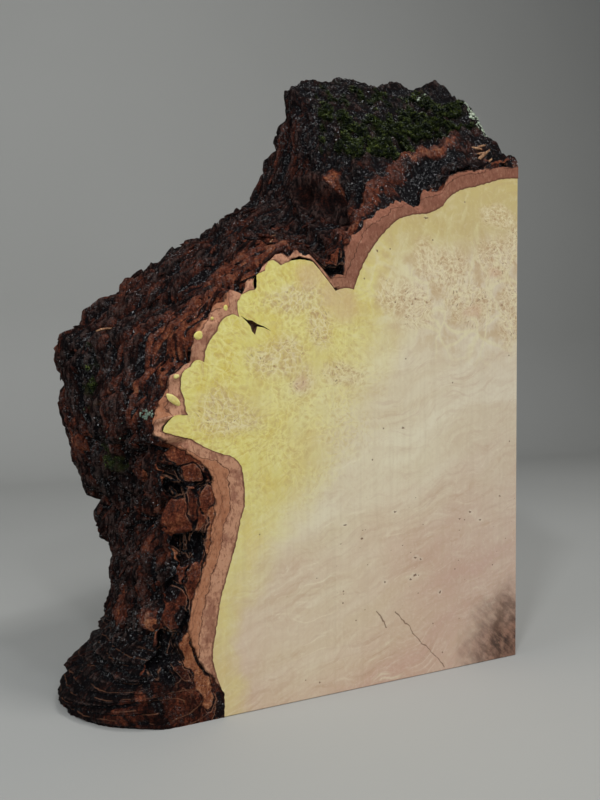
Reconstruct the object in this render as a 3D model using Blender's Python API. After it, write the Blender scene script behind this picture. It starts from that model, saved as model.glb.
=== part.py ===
"""Maple burl turning blank: one piece of burl wood with its bark still on.

Four faces are sawn flat: the broad front, the parallel back, the base that it stands on and the
straight right side. The left side and the top are the natural outside of the tree. There the bark
runs from a cut edge on the front face, outwards and back, to a wider cut edge on the back face.
"""

import math

import bmesh
import bpy
from mathutils import Vector, noise

MM = 0.001
THICKNESS = 60.0

# Stations up the natural edge, from the foot to the right side, in mm. x is measured from the right
# side (so it is negative) and z from the base. Each holds the outside of the bark on the front face,
# the same place on the back face, and how far the bark swells out between the two.
STATIONS = (
    # foot, flared over the base
    (-160.0, 0.0, -170.0, 0.0, 20.5),
    (-162.0, 7.5, -171.0, 7.0, 18.5),
    (-164.0, 14.0, -169.5, 13.0, 11.5),
    (-164.5, 21.5, -168.0, 20.0, 6.0),
    # narrow waist
    (-161.5, 33.0, -166.0, 29.0, 3.0),
    (-159.0, 48.0, -164.5, 40.0, 1.5),
    (-158.0, 61.0, -166.5, 51.0, 0.0),
    (-158.0, 75.0, -170.5, 64.0, 0.0),
    # left bulge of the burl
    (-160.0, 90.0, -175.5, 80.0, 1.0),
    (-161.0, 104.0, -181.0, 98.0, 1.5),
    (-159.0, 114.0, -184.0, 114.0, 1.5),
    (-155.0, 123.0, -185.0, 129.0, 1.0),
    (-149.0, 131.0, -182.5, 140.0, 1.0),
    # long sloping shoulder
    (-141.0, 141.0, -170.0, 152.0, 0.0),
    (-131.0, 152.0, -155.0, 165.0, 0.0),
    (-119.0, 164.0, -136.0, 179.0, 0.0),
    (-106.0, 170.5, -117.0, 191.0, 0.0),
    # cleft between the two lobes of the burl
    (-97.5, 169.0, -106.0, 200.5, -2.0),
    (-92.0, 165.0, -99.0, 209.0, -3.0),
    (-86.5, 168.5, -94.0, 220.0, -2.0),
    # steep side of the crown
    (-81.0, 176.5, -90.0, 234.0, 0.0),
    (-74.0, 184.0, -85.0, 248.0, 0.0),
    # crown, level along its top
    (-63.0, 191.5, -75.0, 260.5, 0.0),
    (-46.0, 199.5, -52.0, 264.5, 0.0),
    (-24.0, 209.5, -27.0, 267.5, 0.0),
    (0.0, 218.0, 0.0, 268.0, 0.0),
)
LAST_STATION = len(STATIONS) - 1
FOOT_END = 4.0
CLEFT = 18.0
CLEFT_HALF_WIDTH = 2.2
CROWN_START = 19.5

# The bark's mesh: quads along the edge and through the thickness, and how finely the edge is
# measured to space them evenly, in parts of a station.
STEPS_ALONG = 178
STEPS_DEEP = 30
MEASURES = 20

# The bark's outward direction is square to the edge between two places this many stations apart.
# It turns level at the foot and upright at the right side, within the stations given.
OUTWARD_REACH = 0.4
FOOT_TURN = 1.5
END_TURN = 1.0

# Relief of the bark, in mm. Fissures cut below the outside, so most of it is inwards. Plates cover
# the side, ledges the foot, and cushions of moss and bark the crown. The cleft has a fifth of it.
LUMP_HEIGHT = 2.6
LUMP_LENGTH = 26.0
PLATE_HEIGHT = 5.0
PLATE_LENGTH = 30.0
PLATE_WIDTH = 12.0
LEDGE_HEIGHT = 2.6
LEDGE_SPACING = 9.0
LEDGE_LENGTH = 40.0
CUSHION_HEIGHT = 3.4
CUSHION_SIZE = 12.0
GRAIN_HEIGHT = 1.3
GRAIN_SIZE = 7.0
FISSURE_SHARPNESS = 4.5
FISSURE_BEND = 0.6
CLEFT_CALM = 0.8

# Hollows where plates of bark have come away: distance along the edge from the foot, distance back
# from the front face, half length, half width and depth, all in mm.
HOLLOWS = (
    (257.5, 18.0, 13.0, 10.0, 6.0),
    (341.0, 7.0, 12.0, 4.5, 3.5),
    (188.0, 24.0, 22.0, 5.0, 4.0),
    (76.0, 12.0, 9.0, 8.0, 4.5),
)
HOLLOW_FLOOR = 0.35

WOOD_COLOUR = (0.74, 0.58, 0.30, 1.0)
BARK_COLOUR = (0.055, 0.028, 0.018, 1.0)
WOOD_ROUGHNESS = 0.55
BARK_ROUGHNESS = 0.45


def clear_scene():
    for thing in list(bpy.data.objects):
        bpy.data.objects.remove(thing)


def smooth_step(low, high, value):
    share = min(1.0, max(0.0, (value - low) / (high - low)))
    return share * share * (3.0 - 2.0 * share)


def at_station(place):
    """The five station values at a fractional station, on a Catmull-Rom curve through them all."""
    start = min(int(place), LAST_STATION - 1)
    share = place - start
    around = [STATIONS[min(LAST_STATION, max(0, start + k))] for k in (-1, 0, 1, 2)]
    weights = (
        ((-share + 2.0) * share - 1.0) * share / 2.0,
        ((3.0 * share - 5.0) * share * share + 2.0) / 2.0,
        ((-3.0 * share + 4.0) * share + 1.0) * share / 2.0,
        ((share - 1.0) * share * share) / 2.0,
    )
    return [sum(weight * value for weight, value in zip(weights, row)) for row in zip(*around)]


def outward(place, deep):
    """The direction out of the wood, in the plane of the front face, at one place on the edge."""
    low = at_station(max(0.0, place - OUTWARD_REACH))
    high = at_station(min(LAST_STATION, place + OUTWARD_REACH))
    start = Vector(low[0:2]).lerp(Vector(low[2:4]), deep)
    end = Vector(high[0:2]).lerp(Vector(high[2:4]), deep)
    along = (end - start).normalized()
    out = Vector((-along.y, along.x))
    at_foot = 1.0 - smooth_step(0.0, FOOT_TURN, place)
    at_end = smooth_step(LAST_STATION - END_TURN, LAST_STATION, place)
    out = out.lerp(Vector((-1.0, 0.0)), at_foot)
    return out.lerp(Vector((0.0, 1.0)), at_end).normalized()


def bare_point(place, deep):
    """A point of the natural edge before relief, as (x, z) in mm. deep runs from 0, front, to 1, back."""
    front_x, front_z, back_x, back_z, swell = at_station(place)
    blend = (deep + smooth_step(0.0, 1.0, deep)) / 2.0
    point = Vector((front_x, front_z)).lerp(Vector((back_x, back_z)), blend)
    bulge = 4.0 * deep * (1.0 - deep)
    return point + outward(place, deep) * swell * bulge


def wave(x, y, seed):
    return noise.noise(Vector((x, y, seed)))


def plates(along, across, seed):
    """1 on a plate of bark and 0 in the fissures round it, which follow the noise's zero line."""
    bend = FISSURE_BEND * wave(along * 1.7, across * 0.8, seed + 7.0)
    return min(1.0, abs(wave(along, across + bend, seed)) * FISSURE_SHARPNESS)


def hollow_depth(along, back):
    """How deep the hollows cut in, in mm, at a distance along the edge and back from the front."""
    depth = 0.0
    for middle_along, middle_back, half_length, half_width, deepest in HOLLOWS:
        away = math.hypot((along - middle_along) / half_length, (back - middle_back) / half_width)
        depth = max(depth, deepest * (1.0 - smooth_step(HOLLOW_FLOOR, 1.0, away)))
    return depth


def relief(place, along, back):
    """How far the bark stands out of its bare outline, in mm."""
    foot = 1.0 - smooth_step(FOOT_END - 1.5, FOOT_END + 0.5, place)
    crown = smooth_step(CROWN_START, CROWN_START + 2.0, place)
    side = (1.0 - foot) * (1.0 - crown)
    lump = LUMP_HEIGHT * wave(along / LUMP_LENGTH, back / LUMP_LENGTH, 3.1)
    plate = PLATE_HEIGHT * (plates(along / PLATE_LENGTH, back / PLATE_WIDTH, 11.3) - 1.0)
    ledge = LEDGE_HEIGHT * (plates(along / LEDGE_SPACING, back / LEDGE_LENGTH, 23.9) - 1.0)
    cushion = CUSHION_HEIGHT * wave(along / CUSHION_SIZE, back / CUSHION_SIZE, 31.7)
    grain = GRAIN_HEIGHT * wave(along / GRAIN_SIZE, back / GRAIN_SIZE, 41.2)
    height = lump + side * plate + foot * ledge + crown * cushion + grain
    in_cleft = 1.0 - smooth_step(0.0, CLEFT_HALF_WIDTH, abs(place - CLEFT))
    return height * (1.0 - CLEFT_CALM * in_cleft) - hollow_depth(along, back)


def even_places():
    """Pairs of station and distance from the foot in mm, evenly spaced along the edge."""
    count = LAST_STATION * MEASURES
    points = [bare_point(k / MEASURES, 0.5) for k in range(count + 1)]
    lengths = [0.0]
    for start, end in zip(points, points[1:]):
        lengths.append(lengths[-1] + (end - start).length)
    places = []
    low = 0
    for step in range(STEPS_ALONG + 1):
        along = lengths[-1] * step / STEPS_ALONG
        while low < count - 1 and lengths[low + 1] < along:
            low += 1
        share = (along - lengths[low]) / (lengths[low + 1] - lengths[low])
        places.append(((low + min(1.0, share)) / MEASURES, along))
    return places


def natural_edge(shape):
    """Rows of bark vertices, one for each step along the edge, running from the front to the back."""
    rows = []
    for place, along in even_places():
        row = []
        for step in range(STEPS_DEEP + 1):
            deep = step / STEPS_DEEP
            back = deep * THICKNESS
            point = bare_point(place, deep) + outward(place, deep) * relief(place, along, back)
            row.append(shape.verts.new((point.x * MM, back * MM, point.y * MM)))
        rows.append(row)
    for vertex in rows[0]:
        vertex.co.z = 0.0
    for vertex in rows[-1]:
        vertex.co.x = 0.0
    return rows


def centre_on_base(shape):
    """Moves the solid so that its origin is the middle of its base, as its outer box gives it."""
    xs = [vertex.co.x for vertex in shape.verts]
    ys = [vertex.co.y for vertex in shape.verts]
    middle = Vector(((min(xs) + max(xs)) / 2.0, (min(ys) + max(ys)) / 2.0, 0.0))
    bmesh.ops.translate(shape, verts=shape.verts, vec=-middle)


def finish(name, colour, roughness):
    material = bpy.data.materials.new(name)
    material.use_nodes = True
    shader = material.node_tree.nodes["Principled BSDF"]
    shader.inputs["Base Color"].default_value = colour
    shader.inputs["Roughness"].default_value = roughness
    shader.inputs["Metallic"].default_value = 0.0
    material.diffuse_color = colour
    return material


def build_blank():
    """One closed solid: the natural edge, and the four sawn faces that close it."""
    shape = bmesh.new()
    rows = natural_edge(shape)
    front_corner = shape.verts.new((0.0, 0.0, 0.0))
    back_corner = shape.verts.new((0.0, THICKNESS * MM, 0.0))
    for lower, upper in zip(rows, rows[1:]):
        for k in range(STEPS_DEEP):
            face = shape.faces.new((lower[k], lower[k + 1], upper[k + 1], upper[k]))
            face.material_index = 1
            face.smooth = True
    front = shape.faces.new([row[0] for row in rows] + [front_corner])
    back = shape.faces.new([row[-1] for row in reversed(rows)] + [back_corner])
    base = shape.faces.new([front_corner, back_corner] + list(reversed(rows[0])))
    side = shape.faces.new(rows[-1] + [back_corner, front_corner])
    bmesh.ops.recalc_face_normals(shape, faces=shape.faces)
    bmesh.ops.triangulate(shape, faces=[front, back, base, side])
    centre_on_base(shape)
    mesh = bpy.data.meshes.new("maple_blank")
    shape.to_mesh(mesh)
    shape.free()
    mesh.materials.append(finish("sawn burl maple", WOOD_COLOUR, WOOD_ROUGHNESS))
    mesh.materials.append(finish("maple bark", BARK_COLOUR, BARK_ROUGHNESS))
    blank = bpy.data.objects.new("maple_blank", mesh)
    bpy.context.scene.collection.objects.link(blank)


clear_scene()
build_blank()
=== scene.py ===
"""Maple burl turning blank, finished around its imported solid.

The burl wood, its sawn bark, the natural outside of the tree, and the moss, lichen and scraps on
it. Places are in mm: x from the straight sawn side (so it is negative), back from the front face,
and z from the base.
"""

import math

import bpy
import numpy as np
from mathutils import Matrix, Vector, noise
from mathutils.geometry import delaunay_2d_cdt


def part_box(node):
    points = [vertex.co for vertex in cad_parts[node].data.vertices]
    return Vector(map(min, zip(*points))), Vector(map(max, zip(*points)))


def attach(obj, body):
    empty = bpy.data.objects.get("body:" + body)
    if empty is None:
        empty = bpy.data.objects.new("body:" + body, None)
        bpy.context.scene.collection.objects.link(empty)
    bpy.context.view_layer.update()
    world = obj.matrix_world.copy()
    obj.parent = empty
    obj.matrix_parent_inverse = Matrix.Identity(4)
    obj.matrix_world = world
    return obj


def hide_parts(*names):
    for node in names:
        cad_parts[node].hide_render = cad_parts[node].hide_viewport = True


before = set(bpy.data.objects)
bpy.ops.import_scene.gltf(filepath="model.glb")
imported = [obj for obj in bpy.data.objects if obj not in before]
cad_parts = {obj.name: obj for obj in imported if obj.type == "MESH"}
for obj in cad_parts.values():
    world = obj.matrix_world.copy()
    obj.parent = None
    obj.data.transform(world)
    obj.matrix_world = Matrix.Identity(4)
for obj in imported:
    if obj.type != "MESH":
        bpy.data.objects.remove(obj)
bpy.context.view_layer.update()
block_low, block_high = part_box("maple_blank")


# The natural edge of the block. It is the outside of the tree, from the flared foot up the left
# side and over the crown to the straight sawn side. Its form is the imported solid's own: stations in
# mm on smooth curves, with lumps, plates, ledges and hollows in the bark.

MM = 0.001
THICKNESS = (block_high.y - block_low.y) / MM
LEFT = (block_low.x - block_high.x) / MM
TOP = block_high.z / MM
STATIONS = (
    # front x, front z, back x, back z and swell: foot, flared over the base
    (-160, 0, -170, 0, 20.5),
    (-162, 7.5, -171, 7, 18.5),
    (-164, 14, -169.5, 13, 11.5),
    (-164.5, 21.5, -168, 20, 6),
    # narrow waist
    (-161.5, 33, -166, 29, 3),
    (-159, 48, -164.5, 40, 1.5),
    (-158, 61, -166.5, 51, 0),
    (-158, 75, -170.5, 64, 0),
    # left bulge of the burl
    (-160, 90, -175.5, 80, 1),
    (-161, 104, -181, 98, 1.5),
    (-159, 114, -184, 114, 1.5),
    (-155, 123, -185, 129, 1),
    (-149, 131, -182.5, 140, 1),
    # long sloping shoulder
    (-141, 141, -170, 152, 0),
    (-131, 152, -155, 165, 0),
    (-119, 164, -136, 179, 0),
    (-106, 170.5, -117, 191, 0),
    # cleft between the two lobes of the burl
    (-97.5, 169, -106, 200.5, -2),
    (-92, 165, -99, 209, -3),
    (-86.5, 168.5, -94, 220, -2),
    # steep side of the crown
    (-81, 176.5, -90, 234, 0),
    (-74, 184, -85, 248, 0),
    # crown, level along its top
    (-63, 191.5, -75, 260.5, 0),
    (-46, 199.5, -52, 264.5, 0),
    (-24, 209.5, -27, 267.5, 0),
    (0, 218, 0, 268, 0),
)
LAST = len(STATIONS) - 1
FOOT_END = 4
CLEFT = 18
CROWN_START = 19.5
# large hollows in the bark: along the edge, back, half length, half width and depth
HOLLOWS = (
    (257.5, 18, 13, 10, 6),
    (341, 7, 12, 4.5, 3.5),
    (188, 24, 22, 5, 4),
    (76, 12, 9, 8, 4.5),
)


def smooth_step(start, end, value):
    share = np.clip((value - start) / (end - start), 0, 1)
    return share * share * (3 - 2 * share)


def window(start, full, fading, end, value):
    """A smooth rise from start to full, and a smooth fall from fading to end."""
    return smooth_step(start, full, value) * (1 - smooth_step(fading, end, value))


def unit(vectors):
    return vectors / np.linalg.norm(vectors, axis=-1, keepdims=True)


def at_each(x, y, seed, measure):
    """What measure gives at each place of two grids."""
    x, y = np.broadcast_arrays(x, y)
    values = [measure((a, b, seed)) for a, b in zip(x.ravel().tolist(), y.ravel().tolist())]
    return np.reshape(values, x.shape + np.shape(values[0]))


def wave(x, y, seed):
    """Smooth noise from about -1 to 1."""
    return at_each(x, y, seed, noise.noise)


def at_station(place):
    """The five station values at fractional stations, on a Catmull-Rom curve through them all."""
    rows = np.array(STATIONS)
    place = np.clip(np.asarray(place, float), 0, LAST)
    start = np.minimum(place.astype(int), LAST - 1)
    share = (place - start)[..., None]
    before, here, after, beyond = (rows[np.clip(start + k, 0, LAST)] for k in (-1, 0, 1, 2))
    return (
        before * ((-share + 2) * share - 1) * share / 2
        + here * ((3 * share - 5) * share * share + 2) / 2
        + after * ((-3 * share + 4) * share + 1) * share / 2
        + beyond * (share - 1) * share * share / 2
    )


def outward(place, deep):
    """The direction out of the wood, in the plane of the front face, at places on the edge."""
    low, high = at_station(place - 0.4), at_station(place + 0.4)
    deep = np.asarray(deep)[..., None]
    start = low[..., 0:2] * (1 - deep) + low[..., 2:4] * deep
    end = high[..., 0:2] * (1 - deep) + high[..., 2:4] * deep
    along = unit(end - start)
    out = np.stack([-along[..., 1], along[..., 0]], axis=-1)
    at_foot = (1 - smooth_step(0, 1.5, place))[..., None]
    at_end = smooth_step(LAST - 1, LAST, place)[..., None]
    out = out + (np.array([-1, 0]) - out) * at_foot
    return unit(out + (np.array([0, 1]) - out) * at_end)


def bare_point(place, deep):
    """Points (x, z) of the edge before relief. deep runs from 0, front, to 1, back."""
    row = at_station(place)
    blend = np.asarray((deep + smooth_step(0, 1, deep)) / 2)[..., None]
    point = row[..., 0:2] * (1 - blend) + row[..., 2:4] * blend
    bulge = np.asarray(4 * deep * (1 - deep))[..., None]
    return point + outward(place, deep) * row[..., 4:5] * bulge


def plates(along, across, seed):
    """1 on a plate of bark and 0 in the fissures round it."""
    bend = 0.6 * wave(along * 1.7, across * 0.8, seed + 7)
    return np.minimum(1, abs(wave(along, across + bend, seed)) * 4.5)


def zones(place):
    """How much of the foot, of the side and of the crown there is at places on the edge."""
    foot = 1 - smooth_step(FOOT_END - 1.5, FOOT_END + 0.5, place)
    crown = smooth_step(CROWN_START, CROWN_START + 2, place)
    return foot, (1 - foot) * (1 - crown), crown


def coarse_relief(place, along, back):
    """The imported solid's own relief, in mm out of the bare edge."""
    foot, side, crown = zones(place)
    lump = 2.6 * wave(along / 26, back / 26, 3.1)
    plate = 5 * (plates(along / 30, back / 12, 11.3) - 1)
    ledge = 2.6 * (plates(along / 9, back / 40, 23.9) - 1)
    cushion = 3.4 * wave(along / 12, back / 12, 31.7)
    grain = 1.3 * wave(along / 7, back / 7, 41.2)
    in_cleft = 1 - smooth_step(0, 2.2, abs(place - CLEFT))
    height = (lump + side * plate + foot * ledge + crown * cushion + grain) * (1 - 0.8 * in_cleft)
    hollow = 0
    for middle_along, middle_back, half_length, half_width, depth in HOLLOWS:
        away = np.hypot((along - middle_along) / half_length, (back - middle_back) / half_width)
        hollow = np.maximum(hollow, depth * (1 - smooth_step(0.35, 1, away)))
    return height - hollow


# The burl wood. It is one block of pale maple, sawn flat on its two broad faces, the base and one
# side. Under the bark it ends in the rounded teeth of the burl's growing edge. The outline holds
# those teeth as arcs, and which station on the outside of the bark lies straight across from them.

WOOD_EDGE = (
    # x, z, height of the arc to the next point, station
    (-132.3, 0, 0, 0),
    (-132.2, 8, 0.4, None),
    (-136.2, 20, 0.5, 2.6),
    (-135.6, 29, 0, None),
    (-133.6, 42, 0, 4.6),
    (-127.6, 62, 0.3, 6),
    (-124.7, 74, -0.3, None),
    (-125.2, 85, -2.1, 7.1),
    (-132.4, 92.8, 0.5, 7.7),
    (-144, 98.6, 0.2, 8.2),
    (-153.9, 101.4, 0.5, 8.7),
    (-149.7, 106.6, 0.3, 9.1),
    (-145, 106.7, 0.5, 9.3),
    (-146.2, 112.6, 0.7, 9.7),
    (-147.4, 118.4, 1.1, 10.3),
    (-144.2, 123.2, 1.6, 11.2),
    (-139.2, 124.8, 1.4, 11.9),
    (-134.6, 135.6, 0.8, 12.8),
    (-131.2, 141, 0.9, 13.3),
    (-126.5, 140.8, 3.4, 13.7),
    (-120.9, 151, 2.2, 14.7),
    (-116.9, 157.9, 3, 15.1),
    (-110.8, 160.4, 1.4, 15.8),
    (-98, 162.8, 0.2, 17),
    (-88.4, 152.5, 0.9, 17.9),
    (-80.6, 153.6, 2.6, 18.25),
    (-61.2, 182.2, 0.7, 21.6),
    (-47.7, 186, -0.3, 22.6),
    (-39.6, 190, 0.4, 23.2),
    (-34, 195.8, 0.5, 23.5),
    (-23.7, 199.8, 0, 24),
    (-10.5, 204.6, 0.3, 24.55),
    (0, 206.4, 0, 25),
)
ARC_STEPS = 16
COLUMNS = 1000
FINE_STEPS = 20
# how much thicker the bark is behind the shoulder, how ragged the wood's edge is, and its chamfer
THICKER_BARK = 5
RAGGED = 0.35
CHAMFER = 0.4
# spacing of the corners on a broad face, and how far they keep from its rim and from the void
WOOD_STEP = 2.2
RIM_GAP = 0.7
HOLE_GAP = 0.5
WOOD_ROWS = 22
SIDE_POINTS = 96
BASE_POINTS = 62
# how far the wood stays back under the bark's furrows, and over how many columns it comes out again
TUCK = 5
TUCK_COLUMNS = 14
# a bark-lined void that opens in a fork of three cracks
VOID = (
    (-126.2, 141.6), (-123.6, 140.2), (-121.9, 140.1), (-120, 139), (-117.3, 138.1),
    (-114.3, 136.4), (-117.4, 137.7), (-119.9, 138), (-120.3, 136.6), (-120.7, 135),
    (-121.9, 136.2), (-122.5, 138), (-123.9, 139.6),
)
VOID_DEPTH = 2.6


def wood_line():
    """The wood's outline on the front face: its points, the station across from each of them, and
    how far along the outline each is."""
    points, known, known_at = [], [], []
    for (x, z, arc, station), (next_x, next_z, _, _) in zip(WOOD_EDGE, WOOD_EDGE[1:]):
        if station is not None:
            known.append(station)
            known_at.append(len(points))
        start, end = np.array([x, z]), np.array([next_x, next_z])
        run = unit(end - start)
        for k in range(ARC_STEPS):
            share = k / ARC_STEPS
            rise = arc * 4 * share * (1 - share)
            points.append(start + (end - start) * share + np.array([-run[1], run[0]]) * rise)
    points.append(np.array(WOOD_EDGE[-1][0:2]))
    known.append(LAST)
    known_at.append(len(points) - 1)
    points = np.array(points)
    lengths = run_lengths(points)
    return points, np.interp(lengths, lengths[known_at], known), lengths


def run_lengths(points):
    """The distance along a line of points, from its start to each of them."""
    return np.concatenate([[0], np.cumsum(np.linalg.norm(np.diff(points, axis=0), axis=1))])


# Columns run across the bark from the wood to the outside. They are spaced evenly by the mean of
# the lengths of the two lines that they join.
wood_points, wood_stations, wood_lengths = wood_line()
fine_places = np.linspace(0, LAST, LAST * FINE_STEPS + 1)
edge_lengths = run_lengths(bare_point(fine_places, 0.5))
wood_at_fine = np.interp(fine_places, wood_stations, wood_lengths)
evenly = (edge_lengths + wood_at_fine) / 2
column_places = np.interp(np.linspace(0, evenly[-1], COLUMNS + 1), evenly, fine_places)
column_along = np.interp(column_places, fine_places, edge_lengths)
column_wood = np.interp(column_places, wood_stations, wood_lengths)
front_wood = [np.interp(column_wood, wood_lengths, wood_points[:, k]) for k in (0, 1)]
front_wood = np.stack(front_wood, axis=1)
ends = at_station(column_places)
back_wood = front_wood + ends[:, 2:4] - ends[:, 0:2]
behind = window(9, 11, 16, 17.5, column_places)
back_wood = back_wood - THICKER_BARK * behind[:, None] * outward(column_places, 1)
ragged = RAGGED * wave(column_wood / 1.6, 0, 5)[:, None] * outward(column_places, 0.5)
front_wood = front_wood + ragged * np.minimum(1, np.arange(COLUMNS + 1) / 8)[:, None]
front_wood[-1] = WOOD_EDGE[-1][0:2]
back_wood[-1, 0] = 0
back_wood[0, 1] = 0


def to_row(points):
    """Points (x, back, z) in mm as places in the row's frame, in metres."""
    corner = np.array([block_high.x, block_low.y, 0])
    return np.asarray(points) * MM + corner


def make_mesh(name, corners, faces, fields, smooth):
    """A mesh from corners in mm. fields holds a number for each corner, by the attribute's name."""
    mesh = bpy.data.meshes.new(name)
    mesh.from_pydata(to_row(corners).tolist(), [], faces)
    for field, values in fields.items():
        layer = mesh.attributes.new(field, "FLOAT", "POINT")
        layer.data.foreach_set("value", np.asarray(values, np.float32).ravel())
    if smooth:
        mesh.shade_smooth()
    mesh.update()
    return mesh


def make_piece(name, mesh, material):
    """A piece of the blank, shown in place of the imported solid."""
    piece = bpy.data.objects.new(name, mesh)
    bpy.context.scene.collection.objects.link(piece)
    mesh.materials.append(material)
    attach(piece, "root")
    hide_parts("maple_blank")
    return piece


def inside(points, outline):
    """Which points lie inside a closed outline."""
    x, z = points[:, 0:1], points[:, 1:2]
    start, end = outline, np.roll(outline, -1, axis=0)
    crosses = (start[:, 1] > z) != (end[:, 1] > z)
    rise = np.where(end[:, 1] == start[:, 1], 1, end[:, 1] - start[:, 1])
    at = start[:, 0] + (z - start[:, 1]) * (end[:, 0] - start[:, 0]) / rise
    return (crosses & (x < at)).sum(axis=1) % 2 == 1


def distance_to(points, line):
    """The distance from each point to the nearest stretch of an open line."""
    start, run = line[:-1], np.diff(line, axis=0)
    nearest = np.full(len(points), np.inf)
    for a, b in zip(start, run):
        share = np.clip((points - a) @ b / max(b @ b, 1e-9), 0, 1)
        nearest = np.minimum(nearest, np.linalg.norm(points - a - share[:, None] * b, axis=1))
    return nearest


def at_back(points, back):
    """Points (x, z) as points (x, back, z)."""
    back = np.broadcast_to(back, points.shape[:-1])
    return np.stack([points[..., 0], back, points[..., 1]], axis=-1)


def ring_faces(rings, size):
    """The quads between rings of size corners each, numbered ring after ring."""
    faces = []
    for k in range(rings - 1):
        for n in range(size):
            a, b = k * size + n, k * size + (n + 1) % size
            faces.append((a, b, b + size, a + size))
    return faces


def closed(line):
    return np.concatenate([line, line[:1]])


def wood_face(outline, boundary, holes, back):
    """Triangles over one broad face: its corners, its faces and each corner's depth in the wood."""
    random = np.random.default_rng(8)
    low, high = outline.min(axis=0), outline.max(axis=0)
    grid_x, grid_z = np.meshgrid(*(np.arange(low[k], high[k], WOOD_STEP) for k in (0, 1)))
    spots = np.stack([grid_x.ravel(), grid_z.ravel()], axis=1)
    spots = spots + random.uniform(-0.3, 0.3, spots.shape) * WOOD_STEP
    spots = spots[inside(spots, outline)]
    spots = spots[distance_to(spots, closed(outline)) > RIM_GAP]
    for hole in holes:
        spots = spots[~inside(spots, hole)]
        spots = spots[distance_to(spots, closed(hole)) > HOLE_GAP]
    corners = [outline, spots]
    edges = []
    count = len(outline) + len(spots)
    for hole in holes:
        corners.append(hole)
        edges += [(count + k, count + (k + 1) % len(hole)) for k in range(len(hole))]
        count += len(hole)
    flat = np.concatenate(corners)
    places = [Vector(point) for point in flat.tolist()]
    result = delaunay_2d_cdt(places, edges, [list(range(len(outline)))], 1, 1e-6)
    flat = np.array([tuple(place) for place in result[0]])
    faces = [tuple(face) for face in result[2]]
    middles = np.array([flat[list(face)].mean(axis=0) for face in faces])
    for hole in holes:
        gone = inside(middles, hole)
        faces = [face for face, dropped in zip(faces, gone) if not dropped]
        middles = middles[~gone]
    depth = distance_to(flat, boundary)
    return at_back(flat, back), faces, depth


def burl_wood_mesh():
    """The two broad faces, and the strip that joins them all the way round."""
    front_left, front_top = WOOD_EDGE[0][0], WOOD_EDGE[-1][1]
    side_z = np.linspace(front_top, 0, SIDE_POINTS)[1:]
    base_x = np.linspace(0, front_left, BASE_POINTS)[1:-1]
    # the wood keeps clear of the bark's furrows, but not where the base and straight side cut both
    numbers = np.arange(COLUMNS + 1)
    under_bark = smooth_step(0, TUCK_COLUMNS, np.minimum(numbers, COLUMNS - numbers))[:, None]

    def loop(deep, chamfer):
        bark = front_wood * (1 - deep) + back_wood * deep
        hidden = window(0, 0.05, 0.97, 1, deep) * under_bark
        bark = bark - outward(column_places, deep) * TUCK * hidden
        top = front_top * (1 - deep) + back_wood[-1, 1] * deep
        left = front_left * (1 - deep) + back_wood[0, 0] * deep
        side = np.stack([np.zeros(len(side_z)), side_z * top / front_top], axis=1)
        base = np.stack([base_x * left / front_left, np.zeros(len(base_x))], axis=1)
        whole = np.concatenate([bark, side, base])
        whole[:, 0] = np.minimum(whole[:, 0], -chamfer)
        whole[:, 1] = np.maximum(whole[:, 1], chamfer)
        return whole

    inner_rows = np.linspace(CHAMFER, THICKNESS - CHAMFER, WOOD_ROWS) / THICKNESS
    deeps = np.concatenate([[0], inner_rows, [1]])
    loops = [loop(deep, CHAMFER if deep in (0, 1) else 0) for deep in deeps]
    corners, depths = [], []
    for deep, line in zip(deeps, loops):
        corners.append(at_back(line, deep * THICKNESS))
        boundary = front_wood * (1 - deep) + back_wood * deep
        depths.append(distance_to(line, boundary[::4]))
    faces = ring_faces(len(loops), len(loops[0]))
    count = len(loops[0]) * len(loops)
    sides = ((loops[0], front_wood, [np.array(VOID)], 0), (loops[-1], back_wood, [], THICKNESS))
    for outline, boundary, holes, back in sides:
        flat, triangles, depth = wood_face(outline, boundary, holes, back)
        order = (0, 1, 2) if back == 0 else (2, 1, 0)
        faces += [tuple(face[k] + count for k in order) for face in triangles]
        corners.append(flat)
        depths.append(depth)
        count += len(flat)
    fields = {"sapwood_mm": np.concatenate(depths)}
    return make_mesh("burl_wood", np.concatenate(corners), faces, fields, False)


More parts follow.
